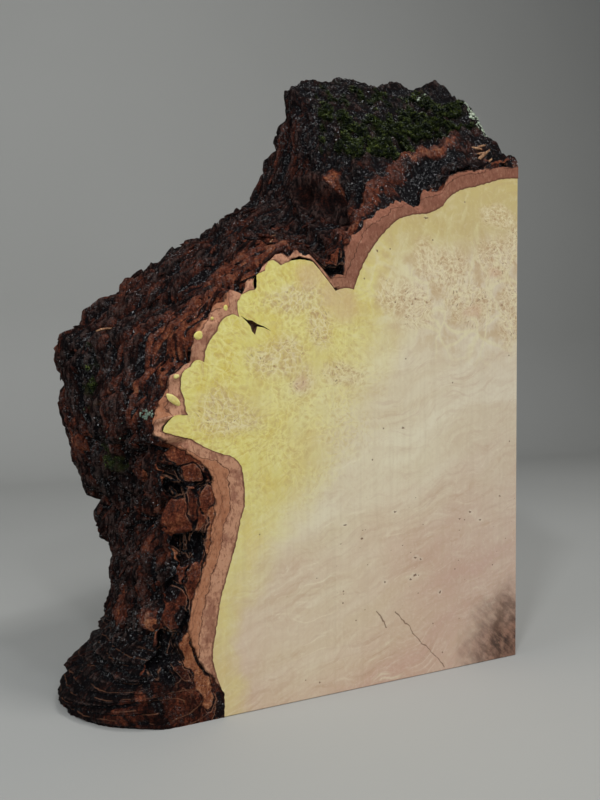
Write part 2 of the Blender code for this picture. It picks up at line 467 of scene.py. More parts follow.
class Shade:
    """A socket of a material's nodes, used like a number. add puts in any node but a Math node."""

    def __init__(self, tree, socket=None):
        self.tree = tree
        self.socket = socket

    def add(self, kind, settings=(), values=(), output=0):
        node = self.tree.nodes.new(kind)
        for name, value in dict(settings).items():
            if name == "stops":
                self.set_stops(node.color_ramp, value)
            else:
                setattr(node, name, value)
        for name, value in dict(values).items():
            self.feed(node.inputs[name], value)
        return Shade(self.tree, node.outputs[output])

    def feed(self, target, value):
        """Link a socket or set its value. A colour has no alpha, and one size stands for three."""
        if isinstance(value, Shade):
            self.tree.links.new(value.socket, target)
        elif target.type == "RGBA":
            target.default_value = (*value, 1)
        elif target.type == "VECTOR" and not isinstance(value, tuple):
            target.default_value = (value,) * 3
        else:
            target.default_value = value

    @staticmethod
    def set_stops(ramp, stops):
        while len(ramp.elements) < len(stops):
            ramp.elements.new(1)
        for element, (position, colour) in zip(ramp.elements, stops):
            element.position = position
            element.color = (*colour, 1)

    def math(self, operation, first, second):
        return self.add("ShaderNodeMath", {"operation": operation}, {0: first, 1: second})

    def __add__(self, other):
        return self.math("ADD", self, other)

    def __sub__(self, other):
        return self.math("SUBTRACT", self, other)

    def __rsub__(self, other):
        return self.math("SUBTRACT", other, self)

    def __mul__(self, other):
        return self.math("MULTIPLY", self, other)

    def __truediv__(self, other):
        return self.math("DIVIDE", self, other)

    def __abs__(self):
        return self.math("ABSOLUTE", self, 0)

    __radd__ = __add__
    __rmul__ = __mul__

    def vector(self, operation, other):
        second = "Scale" if operation == "SCALE" else 1
        return self.add("ShaderNodeVectorMath", {"operation": operation}, {0: self, second: other})

    def axis(self, which):
        """One of the three numbers of a place: 0 is across, 1 is back and 2 is up."""
        return self.add("ShaderNodeSeparateXYZ", (), {0: self}, which)

    def length(self):
        return self.add("ShaderNodeVectorMath", {"operation": "LENGTH"}, {0: self}, "Value")

    def between(self, start, end):
        """0 up to start and 1 from end on, with a smooth rise. start may be the larger one."""
        settings = {"interpolation_type": "SMOOTHSTEP"}
        if start < end:
            return self.add("ShaderNodeMapRange", settings, {"Value": self, 1: start, 2: end})
        return 1 - self.add("ShaderNodeMapRange", settings, {"Value": self, 1: end, 2: start})

    def over(self, below, colour):
        """A colour laid over another, by this much."""
        settings = {"data_type": "RGBA", "clamp_factor": True}
        return self.add("ShaderNodeMix", settings, {0: self, 6: below, 7: colour}, 2)

    def field(self, name):
        return self.add("ShaderNodeAttribute", {"attribute_name": name}, (), "Fac")

    def cloud(self, sizes, detail=3, roughness=0.55, output=0):
        """Noise in mm, whose features are as long on each axis as sizes says."""
        scaled = self.vector("DIVIDE", sizes)
        values = {"Vector": scaled, "Scale": 1, "Detail": detail, "Roughness": roughness}
        return self.add("ShaderNodeTexNoise", {"noise_dimensions": "3D"}, values, output)

    def cells(self, sizes, output=0, feature="F1"):
        scaled = self.vector("DIVIDE", sizes)
        values = {"Vector": scaled, "Scale": 1}
        return self.add("ShaderNodeTexVoronoi", {"feature": feature}, values, output)

    def bumped(self, strength, distance):
        """The normal of a surface that has this height. distance is in metres."""
        values = {"Strength": strength, "Distance": distance, "Height": self}
        return self.add("ShaderNodeBump", (), values)

    def stirred(self, size, amount):
        """This place, pushed about by noise."""
        push = self.cloud(size, 2, 0.5, 1).vector("SUBTRACT", 0.5)
        return self.vector("ADD", push.vector("SCALE", amount))

    def turned(self, degrees):
        """This place, turned in the plane of the front face."""
        values = {"Vector": self, "Rotation": (0, math.radians(degrees), 0)}
        return self.add("ShaderNodeMapping", {"vector_type": "POINT"}, values)


def start_finish(name):
    """A new material, and the place on the piece in mm."""
    material = bpy.data.materials.new(name)
    material.use_nodes = True
    here = Shade(material.node_tree).add("ShaderNodeTexCoord", (), (), "Object")
    corner = (block_high.x, block_low.y, 0)
    return material, here.vector("SUBTRACT", corner).vector("SCALE", 1 / MM)


def coat(material, values):
    """Feed the sockets of a material's own shader."""
    shader = material.node_tree.nodes["Principled BSDF"]
    for name, value in values.items():
        Shade(material.node_tree).feed(shader.inputs[name], value)
    return material


def from_middle(x, z, middle, half, tilt):
    """How far places are from the middle of a tilted oval. The oval's edge is at 1."""
    turn = math.radians(tilt)
    u = ((x - middle[0]) * math.cos(turn) + (z - middle[1]) * math.sin(turn)) / half[0]
    v = ((z - middle[1]) * math.cos(turn) - (x - middle[0]) * math.sin(turn)) / half[1]
    return np.hypot(u, v)


def spot(x, z, middle, half, tilt=0, soft=0.3):
    """1 inside a tilted oval and 0 outside it, with a soft edge."""
    return 1 - smooth_step(1 - soft, 1 + soft, from_middle(x, z, middle, half, tilt))


def shade_spot(place, middle, half, tilt=0, soft=0.3):
    """The same oval in a material, for a place in mm."""
    moved = place.vector("SUBTRACT", (middle[0], 0, middle[1])).turned(tilt)
    away = moved.vector("MULTIPLY", (1 / half[0], 0, 1 / half[1])).length()
    return away.between(1 + soft, 1 - soft)


# sapwood yellow, heartwood cream and tan, and the burl's own darker eyes
YELLOW = (0.66, 0.52, 0.070)
DEEP_YELLOW = (0.56, 0.39, 0.070)
PALE_YELLOW = (0.72, 0.64, 0.165)
CREAM = (0.68, 0.575, 0.385)
PALE = (0.77, 0.695, 0.50)
TAN = (0.53, 0.36, 0.19)
PINK_TAN = (0.575, 0.360, 0.270)
PIP_BROWN = (0.20, 0.09, 0.04)
STAIN_BROWN = (0.045, 0.018, 0.012)
# middle and half size of the burl's eyes in the left lobe, and of its clusters by the straight side
EYES = (
    ((-103, 119), (5.5, 5)), ((-85.5, 121), (9, 4.5)), ((-95, 137.5), (5, 8)),
    ((-112, 128), (9, 7)), ((-131, 108), (12, 8)), ((-104, 148), (12, 5)),
)
CLUSTERS = (
    ((-35.8, 165), (9.5, 8.5)), ((-13, 171), (9, 9)), ((-52, 149), (8, 9)),
    ((-26, 151.5), (13, 9.5)), ((-5, 148), (6, 15)), ((-47.5, 168), (6, 7)),
    ((-11, 188), (9, 5)), ((-3, 178), (4, 9)), ((-63, 152), (7, 8)),
)
# pits and chips in the cut: place and half size, and the thin drying cracks near the base
PITS = (
    ((-84.4, 63.9), (0.8, 0.35)), ((-62, 67.2), (0.7, 0.3)), ((-52.5, 48), (0.6, 0.35)),
    ((-49.8, 47.2), (0.4, 0.3)), ((-52.5, 41), (0.8, 0.4)), ((-54.6, 39.6), (0.5, 0.4)),
    ((-66.6, 40), (0.5, 0.4)), ((-40.3, 32.7), (0.4, 0.5)), ((-25.2, 64.4), (0.5, 0.4)),
    ((-19.9, 60.6), (0.5, 0.3)), ((-47.7, 184.4), (1, 0.4)), ((-70.4, 169.2), (0.4, 0.5)),
    ((-58.4, 100.3), (0.6, 0.4)), ((-77, 58), (0.4, 0.3)), ((-30.5, 62), (0.4, 0.3)),
    ((-9.5, 70), (0.6, 0.3)),
)
CRACKS = (((-61.4, 27.4), (-52.4, 16.9)), ((-52.4, 16.9), (-37.7, 1.3)), ((-70, 29.5), (-66, 22)))


def most(found, *others):
    for other in others:
        found = found.math("MAXIMUM", found, other)
    return found


def layered(colour, *layers):
    """A colour with layers over it in turn. A layer is how much there is of it, and its colour."""
    for amount, paint in layers:
        colour = amount.over(colour, paint)
    return colour


def ovals(place, spots, soft):
    """1 inside any of these ovals."""
    return most(*(shade_spot(place, middle, half, 0, soft) for middle, half in spots))


def stretch_distance(place, start, end):
    """The distance in mm from a straight line between two places on the front face."""
    run = (end[0] - start[0], 0, end[1] - start[1])
    from_start = place.vector("SUBTRACT", (start[0], 0, start[1])).vector("MULTIPLY", (1, 0, 1))
    settings = {"operation": "DOT_PRODUCT"}
    dot = from_start.add("ShaderNodeVectorMath", settings, {0: from_start, 1: run}, "Value")
    share = dot.add("ShaderNodeClamp", (), {"Value": dot / (run[0] ** 2 + run[2] ** 2)})
    reached = share.add("ShaderNodeCombineXYZ", (), {0: share * run[0], 2: share * run[2]})
    return from_start.vector("SUBTRACT", reached).length()


def burl_finish():
    material, place = start_finish("burl_maple")
    sapwood = place.field("sapwood_mm")
    stirred = place.stirred(30, 16)
    swirled = stirred.stirred(7, 7).stirred(2.4, 2)
    across = place.axis(0)
    height = place.axis(2)

    # broad curly bands that rise to the right, cream above and pinkish tan low on the right
    banded = place.stirred(45, 30).stirred(12, 4).turned(19)
    wide = banded.cloud((95, 60, 13), 2)
    band = wide.between(0.33, 0.68)
    ripple = banded.cloud((26, 40, 2.6), 3, 0.6)
    warmth = (88 + 0.30 * across - height + 60 * (stirred.cloud(40) - 0.5)).between(-22, 42)
    pale_low = shade_spot(stirred, (-94, 26), (38, 24), 15, 0.7)
    warmth = warmth * (1 - 0.65 * pale_low)
    colour = band.over(CREAM, PALE)
    colour = (warmth * (0.72 + 0.28 * band)).over(colour, PINK_TAN)
    streaked = (warmth * 0.6 + 0.2) * place.cloud((26, 26, 18)).between(0.40, 0.62)
    colour = layered(
        colour,
        (ripple.between(0.54, 0.74) * streaked * 0.8, PALE),
        (ripple.between(0.47, 0.30) * streaked * 0.8, (0.47, 0.29, 0.19)),
    )
    shadow = (wide - 0.5).between(0, 0.045) * (wide - 0.5).between(0.10, 0.03)
    shadow = shadow * (0.25 + 0.5 * warmth)
    colour = (shadow * 0.28).over(colour, (0.50, 0.32, 0.21))
    edge_line = abs(wide - 0.5).between(0.016, 0.002) * place.cloud(18).between(0.50, 0.62)
    colour = (edge_line * 0.3).over(colour, (0.85, 0.77, 0.58))

    # greyer towards the straight side
    colour = (across.between(-75, 5) * 0.38).over(colour, (0.60, 0.495, 0.415))

    # yellow sapwood under the bark, deep through the left lobe
    lobe = shade_spot(place, (-122, 126), (50, 46), 0, 0.65)
    reach = 5.5 + 5.5 * height.between(20, 60) + 33 * lobe
    depth = (sapwood + 26 * (stirred.cloud(20, 4, 0.6) - 0.5)) / reach
    yellow = depth.between(2.15, -0.20)
    rich = stirred.cloud((9, 20, 11), 4, 0.6).between(0.30, 0.62)
    colour = layered(
        colour,
        (
            yellow * (0.45 + 0.25 * height.between(15, 55) + 0.28 * lobe),
            rich.over(YELLOW, PALE_YELLOW),
        ),
        (sapwood.between(4.5, 0) * lobe * 0.45, (0.66, 0.60, 0.15)),
    )

    # fine streaks that fan out towards the growing edge, and the burl's small curls behind them
    fan = place.vector("SUBTRACT", (-88, 0, 106))
    angle = fan.math("ARCTAN2", fan.axis(0), fan.axis(2))
    ray = fan.add("ShaderNodeCombineXYZ", (), {0: angle * 55, 1: fan.length()}).stirred(5, 4.5)
    streak = ray.cloud((1.2, 6.5, 5), 2, 0.6)
    in_lobe = shade_spot(place, (-118, 122), (44, 46), 0, 0.4)
    outer_lobe = in_lobe * sapwood.between(26, 6)
    colour = layered(
        colour,
        (outer_lobe * streak.between(0.52, 0.70) * 0.45, (0.80, 0.73, 0.28)),
        (outer_lobe * streak.between(0.47, 0.33) * 0.55, DEEP_YELLOW),
    )
    mottle = swirled.cloud((1.5, 5, 1.5), 2, 0.6)
    curl = abs(swirled.cloud((2.3, 6, 2.3), 2, 0.55) - 0.5)
    net = place.stirred(9, 6).stirred(2.6, 2.2).cells((2.7, 6, 2.7), 0, "DISTANCE_TO_EDGE")
    curled = in_lobe * place.cloud((13, 20, 13), 2).between(0.32, 0.55)
    colour = layered(
        colour,
        (curled * mottle.between(0.50, 0.34) * 0.42, (0.54, 0.37, 0.12)),
        (curled * curl.between(0.050, 0.004) * 0.16, (0.82, 0.76, 0.33)),
        (curled * net.between(0.12, 0.02) * 0.38, (0.83, 0.77, 0.33)),
        (curled * net.between(0.20, 0.42) * 0.36, (0.55, 0.38, 0.12)),
    )

    # eyes and clusters of figure: tan patches, pale outlines, and curls round dark pips
    eyes = ovals(stirred, EYES, 0.45)
    clusters = ovals(place.stirred(9, 10), CLUSTERS, 0.40)
    arch = place.stirred(14, 13).cells((10, 30, 13), 0, "DISTANCE_TO_EDGE")
    figure_zone = shade_spot(place, (-26, 162), (50, 32), 0, 0.35)
    cloudy = place.stirred(16, 12).cloud((8, 20, 10), 3, 0.6)
    colour = layered(
        colour,
        (figure_zone * cloudy.between(0.52, 0.40) * 0.55, (0.53, 0.37, 0.19)),
        (figure_zone * cloudy.between(0.56, 0.68) * 0.55, (0.78, 0.72, 0.50)),
        (figure_zone * arch.between(0.05, 0.34) * 0.50, (0.52, 0.36, 0.19)),
        (figure_zone * arch.between(0.085, 0.015) * 0.60, (0.76, 0.69, 0.42)),
    )
    flame = place.stirred(20, 14).turned(-12).cloud((3.6, 20, 16), 2)
    flamed = shade_spot(place, (-34, 184), (38, 20), 0, 0.4)
    topped = shade_spot(place.stirred(20, 14), (-22, 193), (52, 17), 18, 0.5)
    colour = layered(
        colour,
        (topped * 0.78, (0.56, 0.44, 0.180)),
        (flamed * flame.between(0.54, 0.68) * 0.40, (0.72, 0.66, 0.36)),
    )
    tangled = most(clusters, eyes * 0.9)
    colour = (tangled * 0.38).over(colour, (0.57, 0.40, 0.23))
    coarse = abs(swirled.cloud((3.4, 6, 3.4), 2, 0.55) - 0.5)
    colour = layered(
        colour,
        (tangled * mottle.between(0.52, 0.36) * 0.55, (0.43, 0.26, 0.13)),
        (tangled * curl.between(0.055, 0.006) * 0.34, (0.82, 0.74, 0.47)),
        (tangled * net.between(0.11, 0.02) * 0.42, (0.82, 0.74, 0.47)),
        (tangled * net.between(0.24, 0.44) * 0.40, (0.45, 0.28, 0.15)),
        (clusters * coarse.between(0.032, 0.006) * 0.45, (0.82, 0.75, 0.49)),
    )
    pip = swirled.cells((1.9, 3, 1.9), 0).between(0.27, 0.12)
    some = place.cloud((5, 9, 5), 2).between(0.48, 0.58)
    colour = (tangled * pip * some * 0.8).over(colour, PIP_BROWN)
    blush = ovals(stirred, (((-24, 150), (5, 2.2)), ((-97, 156), (7, 5)), ((-87, 150), (6, 9)),
                            ((-12, 162), (4, 2)), ((-104, 119), (3, 3))), 0.5)
    colour = (blush * 0.45).over(colour, (0.60, 0.37, 0.25))

    # faint figure over all the rest
    thin_band = place.stirred(26, 20).stirred(8, 4).turned(20).cloud((20, 30, 2.6), 4, 0.65)
    here_and_there = 0.35 + 0.65 * place.cloud((30, 30, 16), 2).between(0.42, 0.60)
    plain = (1 - 0.8 * most(in_lobe, figure_zone)) * here_and_there
    colour = layered(
        colour,
        (plain * thin_band.between(0.52, 0.36) * 0.28, (0.50, 0.315, 0.21)),
        (plain * thin_band.between(0.52, 0.72) * 0.26, (0.80, 0.73, 0.57)),
    )
    scratch = abs(thin_band - 0.47).between(0.010, 0.002) * place.cloud(7, 2).between(0.54, 0.62)
    colour = layered(
        colour,
        (plain * scratch * 0.32, (0.87, 0.80, 0.64)),
        (mottle.between(0.48, 0.36) * 0.10, TAN),
        (mottle.between(0.53, 0.66) * 0.12, (0.82, 0.76, 0.56)),
    )

    # pits and chips, rows of fine specks, and drying cracks near the base
    pit = ovals(place.stirred(0.9, 1.4), PITS, 0.5)
    around = [(middle, (half[0] * 2.4, half[1] * 2.4)) for middle, half in PITS[:10]]
    halo = ovals(place.stirred(3, 3), around, 0.8)
    colour = (halo * 0.35).over(colour, (0.83, 0.74, 0.58))
    speckled = shade_spot(place, (-48, 54), (55, 22), 12, 0.4)
    row = place.turned(22).cells((3.4, 9, 2.2), 0).between(0.13, 0.06)
    row = row * speckled * place.cloud((8, 8, 5), 2).between(0.50, 0.60)
    speck = place.cells((8, 9, 8), 0).between(0.055, 0.035)
    lines = [stretch_distance(place.stirred(4, 3), start, end) for start, end in CRACKS]
    crack = most(*(line.between(0.34, 0.08) for line in lines))
    sunk = most(most(pit, row), most(speck * 0.8, crack * 0.8))
    colour = (sunk * 0.88).over(colour, (0.13, 0.055, 0.03))

    # brown stain in the lower right corner
    stain = shade_spot(place.stirred(11, 16).stirred(3, 4), (0, 2), (21, 23), 28, 0.6)
    mould = place.turned(50).cloud((3.5, 9, 7), 4, 0.65).between(0.34, 0.62)
    colour = layered(
        colour,
        (stain * 0.82, (0.23, 0.095, 0.055)),
        (stain * mould * 0.85, STAIN_BROWN),
        (shade_spot(place, (-8.9, 7.5), (4, 3), 0, 0.7) * mould * 0.8, (0.02, 0.012, 0.010)),
    )

    # upright marks of the saw, too fine to see one by one
    mark = place.cloud((1.1, 0.7, 40), 2)
    comb = place.stirred(60, 12).cloud((3.4, 30, 70), 1)
    colour = layered(
        colour,
        (mark.between(0.40, 0.75) * 0.07, (0.40, 0.28, 0.16)),
        (comb.between(0.52, 0.70) * 0.07, (0.42, 0.30, 0.18)),
    )
    relief = mark * 0.5 + mottle * 0.6 + ripple * 0.5 - sunk * 4
    return coat(material, {
        "Base Color": colour, "Roughness": 0.58 - 0.14 * mottle, "Specular IOR Level": 0.35,
        "Normal": relief.bumped(0.22, 0.0004),
    })


burl_wood = make_piece("burl_wood", burl_wood_mesh(), burl_finish())


# The pocket of bark in the wood's front face. A fold of bark was grown over there, and it has dried
# away and left a void with cracks. Its lining is dark and narrows inwards.

def pocket_mesh():
    rim = np.array(VOID)
    middle = rim.mean(axis=0)
    rings = []
    for share, back in ((1, 0.02), (0.97, 0.8), (0.8, 1.6), (0.5, VOID_DEPTH)):
        rings.append(at_back(middle + (rim - middle) * share, back))
    size = len(rim)
    faces = ring_faces(len(rings), size)
    faces.append(tuple((len(rings) - 1) * size + n for n in range(size)))
    return make_mesh("bark_pocket", np.concatenate(rings), faces, {}, False)


def pocket_finish():
    material, place = start_finish("bark_pocket_lining")
    rough = place.cloud(0.8)
    colour = rough.between(0.3, 0.7).over((0.06, 0.025, 0.015), (0.20, 0.095, 0.05))
    relief = rough.bumped(0.5, 0.0004)
    return coat(material, {"Base Color": colour, "Roughness": 0.6, "Normal": relief})


make_piece("bark_pocket", pocket_mesh(), pocket_finish())


# The natural outside of the bark. It is wet, dark and deeply furrowed: long sheets that overlap
# like shingles up the side, level layers round the foot, and lumps under the moss on the crown. It
# is made in two stretches that meet in the cleft.

DEEP_ROWS = 132
# how far back the front corner of the bark is rounded off, by station
CORNER = (
    (0, 2.5), (4, 3.5), (7, 4.5), (10, 4.5), (12.5, 2.5), (16, 2), (18, 1.2), (20, 2),
    (LAST, 1.5),
)
# the round reaches this many times as far along each face
CORNER_REACH = 2.2
SHEET_SPACING = 6.5
# forms on the crown: places along the edge and back on a line, half width, height
RIDGES = (
    (
        (
            (240, 2), (262, 4.5), (276, 6), (292, 9.5), (304, 13.5), (326, 15.5), (336, 19),
            (344, 19),
        ),
        4.2, 3.2,
    ),
    (((303, 12.4), (314, 12.6), (325, 12.9), (334, 15.5)), 1.5, 1.3),
    (((353, 32), (353, 50)), 15, 5.2),
    (((284, 59), (346, 59)), 6, 1.6),
    (((255, 30), (264, 22), (272, 17), (286, 17)), 4.5, 2.6),
    (((244, 12), (241, 26), (243, 40)), 4, 2.4),
    (((272, 58), (280, 44), (284, 34)), 6, 2.6),
)
TRENCHES = (
    (((293, 3), (304, 7), (318, 9), (334, 8.5), (340, 7)), 5.2, 5),
    (((241, 42), (247, 33), (252, 26)), 7, 2.4),
    (((287, 24), (300, 17.5), (312, 20.5)), 3.2, 2.6),
    (((112, 43), (94, 39), (88, 36), (78, 24), (70, 18), (62, 8), (54, 1)), 4.6, 4.2),
    (((142, 17), (124, 15), (104, 13.5), (86, 11)), 3, 3),
    (((150, 40), (122, 44), (96, 47), (66, 44)), 3.5, 3),
)
# patches of the outside with a colour of their own: along, back, half size and how bright
OUTER_PATCHES = (
    ((266, 21.5), (4.5, 3.5), 0.58), ((263, 23.5), (2.6, 1.8), 0.72), ((270, 5), (19, 4), 0.47),
    ((150, 8), (20, 8), 0.56), ((172, 9), (16, 6), 0.52), ((196, 10), (14, 6), 0.54),
    ((292, 10), (9, 3.4), 0.42), ((29, 14), (8, 15), 0.06), ((36, 24), (8, 16), 0.04),
    ((52, 6), (7, 5), 0.08), ((214, 15), (9, 5), 0.56),
    ((239, 36), (8, 26), 0.13), ((250, 40), (9, 7), 0.33), ((40, 30), (7, 6), 0.48),
    ((64, 12), (6, 4), 0.50), ((84, 30), (16, 9), 0.12),
    ((346, 3), (8, 4), 0.60),
)
# the bare rim under the moss on the crown, and its pale lip: line, half width and how bright
BARE_BANDS = (
    (((302, 15), (316, 15.4), (326, 15.8), (336, 19.5)), 4.6, 0.37),
    (((303, 12.6), (314, 12.8), (325, 13.1), (334, 15.7)), 1.3, 0.60),
)
MOSS_PATCHES = (
    # along the edge, back, half length, half width, strength
    ((330, 30), (24, 13), 1), ((302, 26), (20, 9), 0.95), ((284, 33), (10, 10), 0.85),
    ((318, 44), (24, 8), 0.62), ((290, 48), (10, 7), 0.6), ((126, 39), (16, 4.5), 0.44),
    ((104, 29), (14, 5), 0.50), ((95, 32), (7, 4), 0.42), ((346, 30), (9, 12), 0.7),
)


# what turns the middle of a cell into a number that looks random
CELL_ACROSS = 12.9898
CELL_UP = 78.233
CELL_SCATTER = 437.585


def lumps(x, y, seed):
    """Rounded lumps, 1 at each one's top and 0 at its foot."""
    near = at_each(x, y, seed, lambda place: noise.voronoi(place)[0][0])
    return np.clip(1 - near * 1.4, 0, 1)


def plates_and_cracks(x, y, seed):
    """For cells of about 1 by 1: how far places are from their cell's edge, and a number from 0 to
    1 that is the cell's own."""
    def cell(place):
        distances, middles = noise.voronoi(place)
        own = middles[0].x * CELL_ACROSS + middles[0].y * CELL_UP
        return distances[1] - distances[0], own

    found = at_each(x, y, seed, cell)
    return found[..., 0] / 2, np.modf(abs(np.sin(found[..., 1])) * CELL_SCATTER)[0]


def line_distance(x, y, line):
    """The distance from each place of two grids to a line of places."""
    x, y = np.broadcast_arrays(x, y)
    flat = np.stack([x.ravel(), y.ravel()], axis=1)
    return distance_to(flat, np.array(line)).reshape(x.shape)


def along_line(x, y, line, half_width):
    """1 on a line of places and 0 from half a width away."""
    return 1 - smooth_step(0, half_width, line_distance(x, y, line))


def ridged(x, y, seed):
    """Sharp ridges with round valleys between them, from 0 to 1."""
    return 1 - np.minimum(1, abs(wave(x, y, seed)) * 2.2)


def fine_relief(place, along, back):
    """The small forms of the bark, in mm out of the coarse ones."""
    foot, side, crown = zones(place)
    bend = 1.6 * wave(along / 18, back / 9, 52) + 0.6 * wave(along / 6, back / 3, 53)
    turn = 1.3 * wave(along / 50, back / 18, 51) + 0.5 * wave(along / 13, back / 5, 57)
    sheet = 1 - (back / SHEET_SPACING + turn) % 1
    step = 1.7 * (0.7 + 1.1 * wave(along / 17, back / 9, 59))
    fibre = 2.3 * ridged(along / 34, (back + bend) / 3.4, 61)
    fibre = fibre + 1.1 * ridged(along / 15, (back + bend) / 1.5, 62)
    split = 1 - smooth_step(0, 0.08, abs(wave((along + 2 * bend) / 15, back / 12, 63)))
    chunk, own = plates_and_cracks((along + bend) / 26, (back + bend) / 5.4, 69)
    chunks = (own - 0.5) * 2.4 * smooth_step(0, 0.10, chunk)
    chunks = chunks - 1.5 * (1 - smooth_step(0, 0.07, chunk))
    waist = window(2.6, 3.8, 7.4, 8.6, place) * (1 - smooth_step(26, 36, back))
    knob, knob_own = plates_and_cracks((along + 1.5 * bend) / 10, (back + 1.5 * bend) / 8.5, 70)
    knobs = 5 * (knob_own - 0.62) * smooth_step(0, 0.16, knob)
    knobs = knobs - 2.2 * (1 - smooth_step(0, 0.10, knob))
    chunks = chunks + waist * knobs
    crumb = wave(along / 2.2, back / 1.8, 64) + 0.6 * wave(along / 1.1, back / 0.95, 65)
    layer = 1 - (along / 3.3 + 0.9 * wave(along / 22, back / 26, 66)) % 1
    lump = lumps((along + bend) / 5.4, back / 5.4, 67) + 0.5 * lumps(along / 2.3, back / 2.3, 68)
    side_form = step * (sheet - 1) + fibre - 2.9 - 0.8 * split + chunks
    foot_form = 1.1 * (layer - 1) + 0.16 * fibre - 0.8 + 0.12 * chunks
    crown_form = 2.6 * (lump - 1.3) + 0.35 * fibre
    return side * side_form + foot * foot_form + crown * crown_form + (0.15 + 0.27 * crown) * crumb


def blurred(grid, reach):
    """Each value's mean over its neighbours, up to reach cells away."""
    for axis in (0, 1):
        width = [(reach + 1, reach) if k == axis else (0, 0) for k in (0, 1)]
        total = np.cumsum(np.pad(grid, width, mode="edge"), axis=axis)
        span = 2 * reach + 1
        ahead = np.take(total, range(span, total.shape[axis]), axis=axis)
        behind = np.take(total, range(0, total.shape[axis] - span), axis=axis)
        grid = (ahead - behind) / span
    return grid


def corner_share(distance):
    """How much of the corner is rounded off at a distance from it, from 1 down to 0."""
    return np.clip(1 - distance / (CORNER_REACH * corner_depth), 0, 1) ** 2


def patch_quads(shape, first, flip):
    """The quads of a grid of corners whose numbers start at first."""
    number = first + np.arange(shape[0] * shape[1]).reshape(shape[0:2])
    quads = np.stack([number[:-1, :-1], number[:-1, 1:], number[1:, 1:], number[1:, :-1]], axis=-1)
    if flip:
        quads = quads[..., ::-1]
    return quads.reshape(-1, 4).tolist()


def patches_mesh(name, patches):
    """One mesh of grids. A patch is its points in mm, its fields and whether it is flipped."""
    corners, faces, fields = [], [], {}
    count = 0
    for points, values, flip in patches:
        faces += patch_quads(points.shape, count, flip)
        corners.append(points.reshape(-1, 3))
        for field, grid in values.items():
            fields.setdefault(field, []).append(np.broadcast_to(grid, points.shape[0:2]).ravel())
        count += points.shape[0] * points.shape[1]
    fields = {field: np.concatenate(parts) for field, parts in fields.items()}
    return make_mesh(name, np.concatenate(corners), faces, fields, True)


place_grid = column_places[:, None]
along_grid = column_along[:, None]
on_foot, on_side, on_crown = zones(place_grid)
corner_depth = np.interp(place_grid, *zip(*CORNER)) * (1 + 0.5 * wave(along_grid / 9, 0, 71))
rows = np.linspace(0, 1, DEEP_ROWS + 1)[None, :]
back_grid = corner_depth + (THICKNESS - corner_depth) * rows
deep_grid = back_grid / THICKNESS
forms = np.zeros(back_grid.shape)
sunk = np.zeros(back_grid.shape)
for line, half_width, rise in RIDGES:
    forms = forms + rise * along_line(along_grid, back_grid, line, half_width)
for line, half_width, drop in TRENCHES:
    trench = along_line(along_grid, back_grid, line, half_width)
    forms = forms - drop * trench
    sunk = np.maximum(sunk, trench * min(1, drop / 4))
# the largest hollow is a smooth dark face where a lump broke off
broken_face = spot(along_grid, back_grid, (252, 28), (16.5, 7.5), -51, 0.12)
torn_face = spot(along_grid, back_grid, (267, 20), (8, 5.5), -40, 0.2)
by_lobe = window(7.4, 8.2, 10.6, 11.6, place_grid) * (1 - smooth_step(4, 11, back_grid))
calm = np.maximum(np.maximum(0.85 * broken_face, 0.75 * torn_face), 0.85 * by_lobe)
calm = np.maximum(calm, 0.5 * spot(along_grid, back_grid, (142, 7), (20, 9), 0, 0.4))
height = coarse_relief(place_grid, along_grid, back_grid) + forms
height = height + fine_relief(place_grid, along_grid, back_grid) * (1 - calm) - 1.6 * by_lobe
inset = 0.9 * corner_depth * corner_share(back_grid - corner_depth)
outer = bare_point(place_grid, deep_grid)
outer = outer + outward(place_grid, deep_grid) * (height - inset)[..., None]
outer[0, :, 1] = 0
outer[-1, :, 0] = 0
outer = np.clip(outer, (LEFT, 0), (0, TOP))
outer_points = at_back(outer, back_grid)
# how far each place sinks below the bark round it, more in the trenches and less on the broken face;
# the bark's finish paints shade, near black, where this is high
cavity = 0.5 + (blurred(height, 7) - height) / 4 + (blurred(height, 2) - height) / 2.4
cavity = np.clip(cavity + 0.30 * sunk, 0, 1) * (1 - 0.5 * broken_face)
moss_cover = np.zeros(back_grid.shape)
warp = 9 * wave(along_grid / 9, back_grid / 9, 81) + 4 * wave(along_grid / 3.5, back_grid / 3.5, 82)
for middle, half, strength in MOSS_PATCHES:
    patch = spot(along_grid + warp, back_grid + 0.6 * warp, middle, half, 0, 0.35)
    moss_cover = np.maximum(moss_cover, patch * strength)
thin = wave(along_grid / 6, back_grid / 6, 83) + 0.6 * wave(along_grid / 2.5, back_grid / 2.5, 84)
moss_cover = moss_cover * smooth_step(-0.05, 0.40, thin + 0.7 * (moss_cover - 0.6))
moss_cover = moss_cover * (1 - broken_face)
# the moss on the crown ends along a bare pinkish rim
rim_back = np.interp(along_grid, (270, 292, 308, 334, 344, 354), (6, 12, 18.5, 22, 21, 12))
moss_cover = moss_cover * smooth_step(0, 2, back_grid + 0.3 * warp - rim_back)
_, plate_tone = plates_and_cracks(along_grid / 12, back_grid / 5, 75)
near_front = (1 - smooth_step(5, 20, back_grid)) * on_side
far_back = smooth_step(14, 30, back_grid)
outer_tone = 0.11 + 0.32 * plate_tone ** 1.5 * (1 - 0.4 * far_back) + 0.13 * near_front
outer_tone = outer_tone - 0.16 * on_crown - 0.14 * on_foot
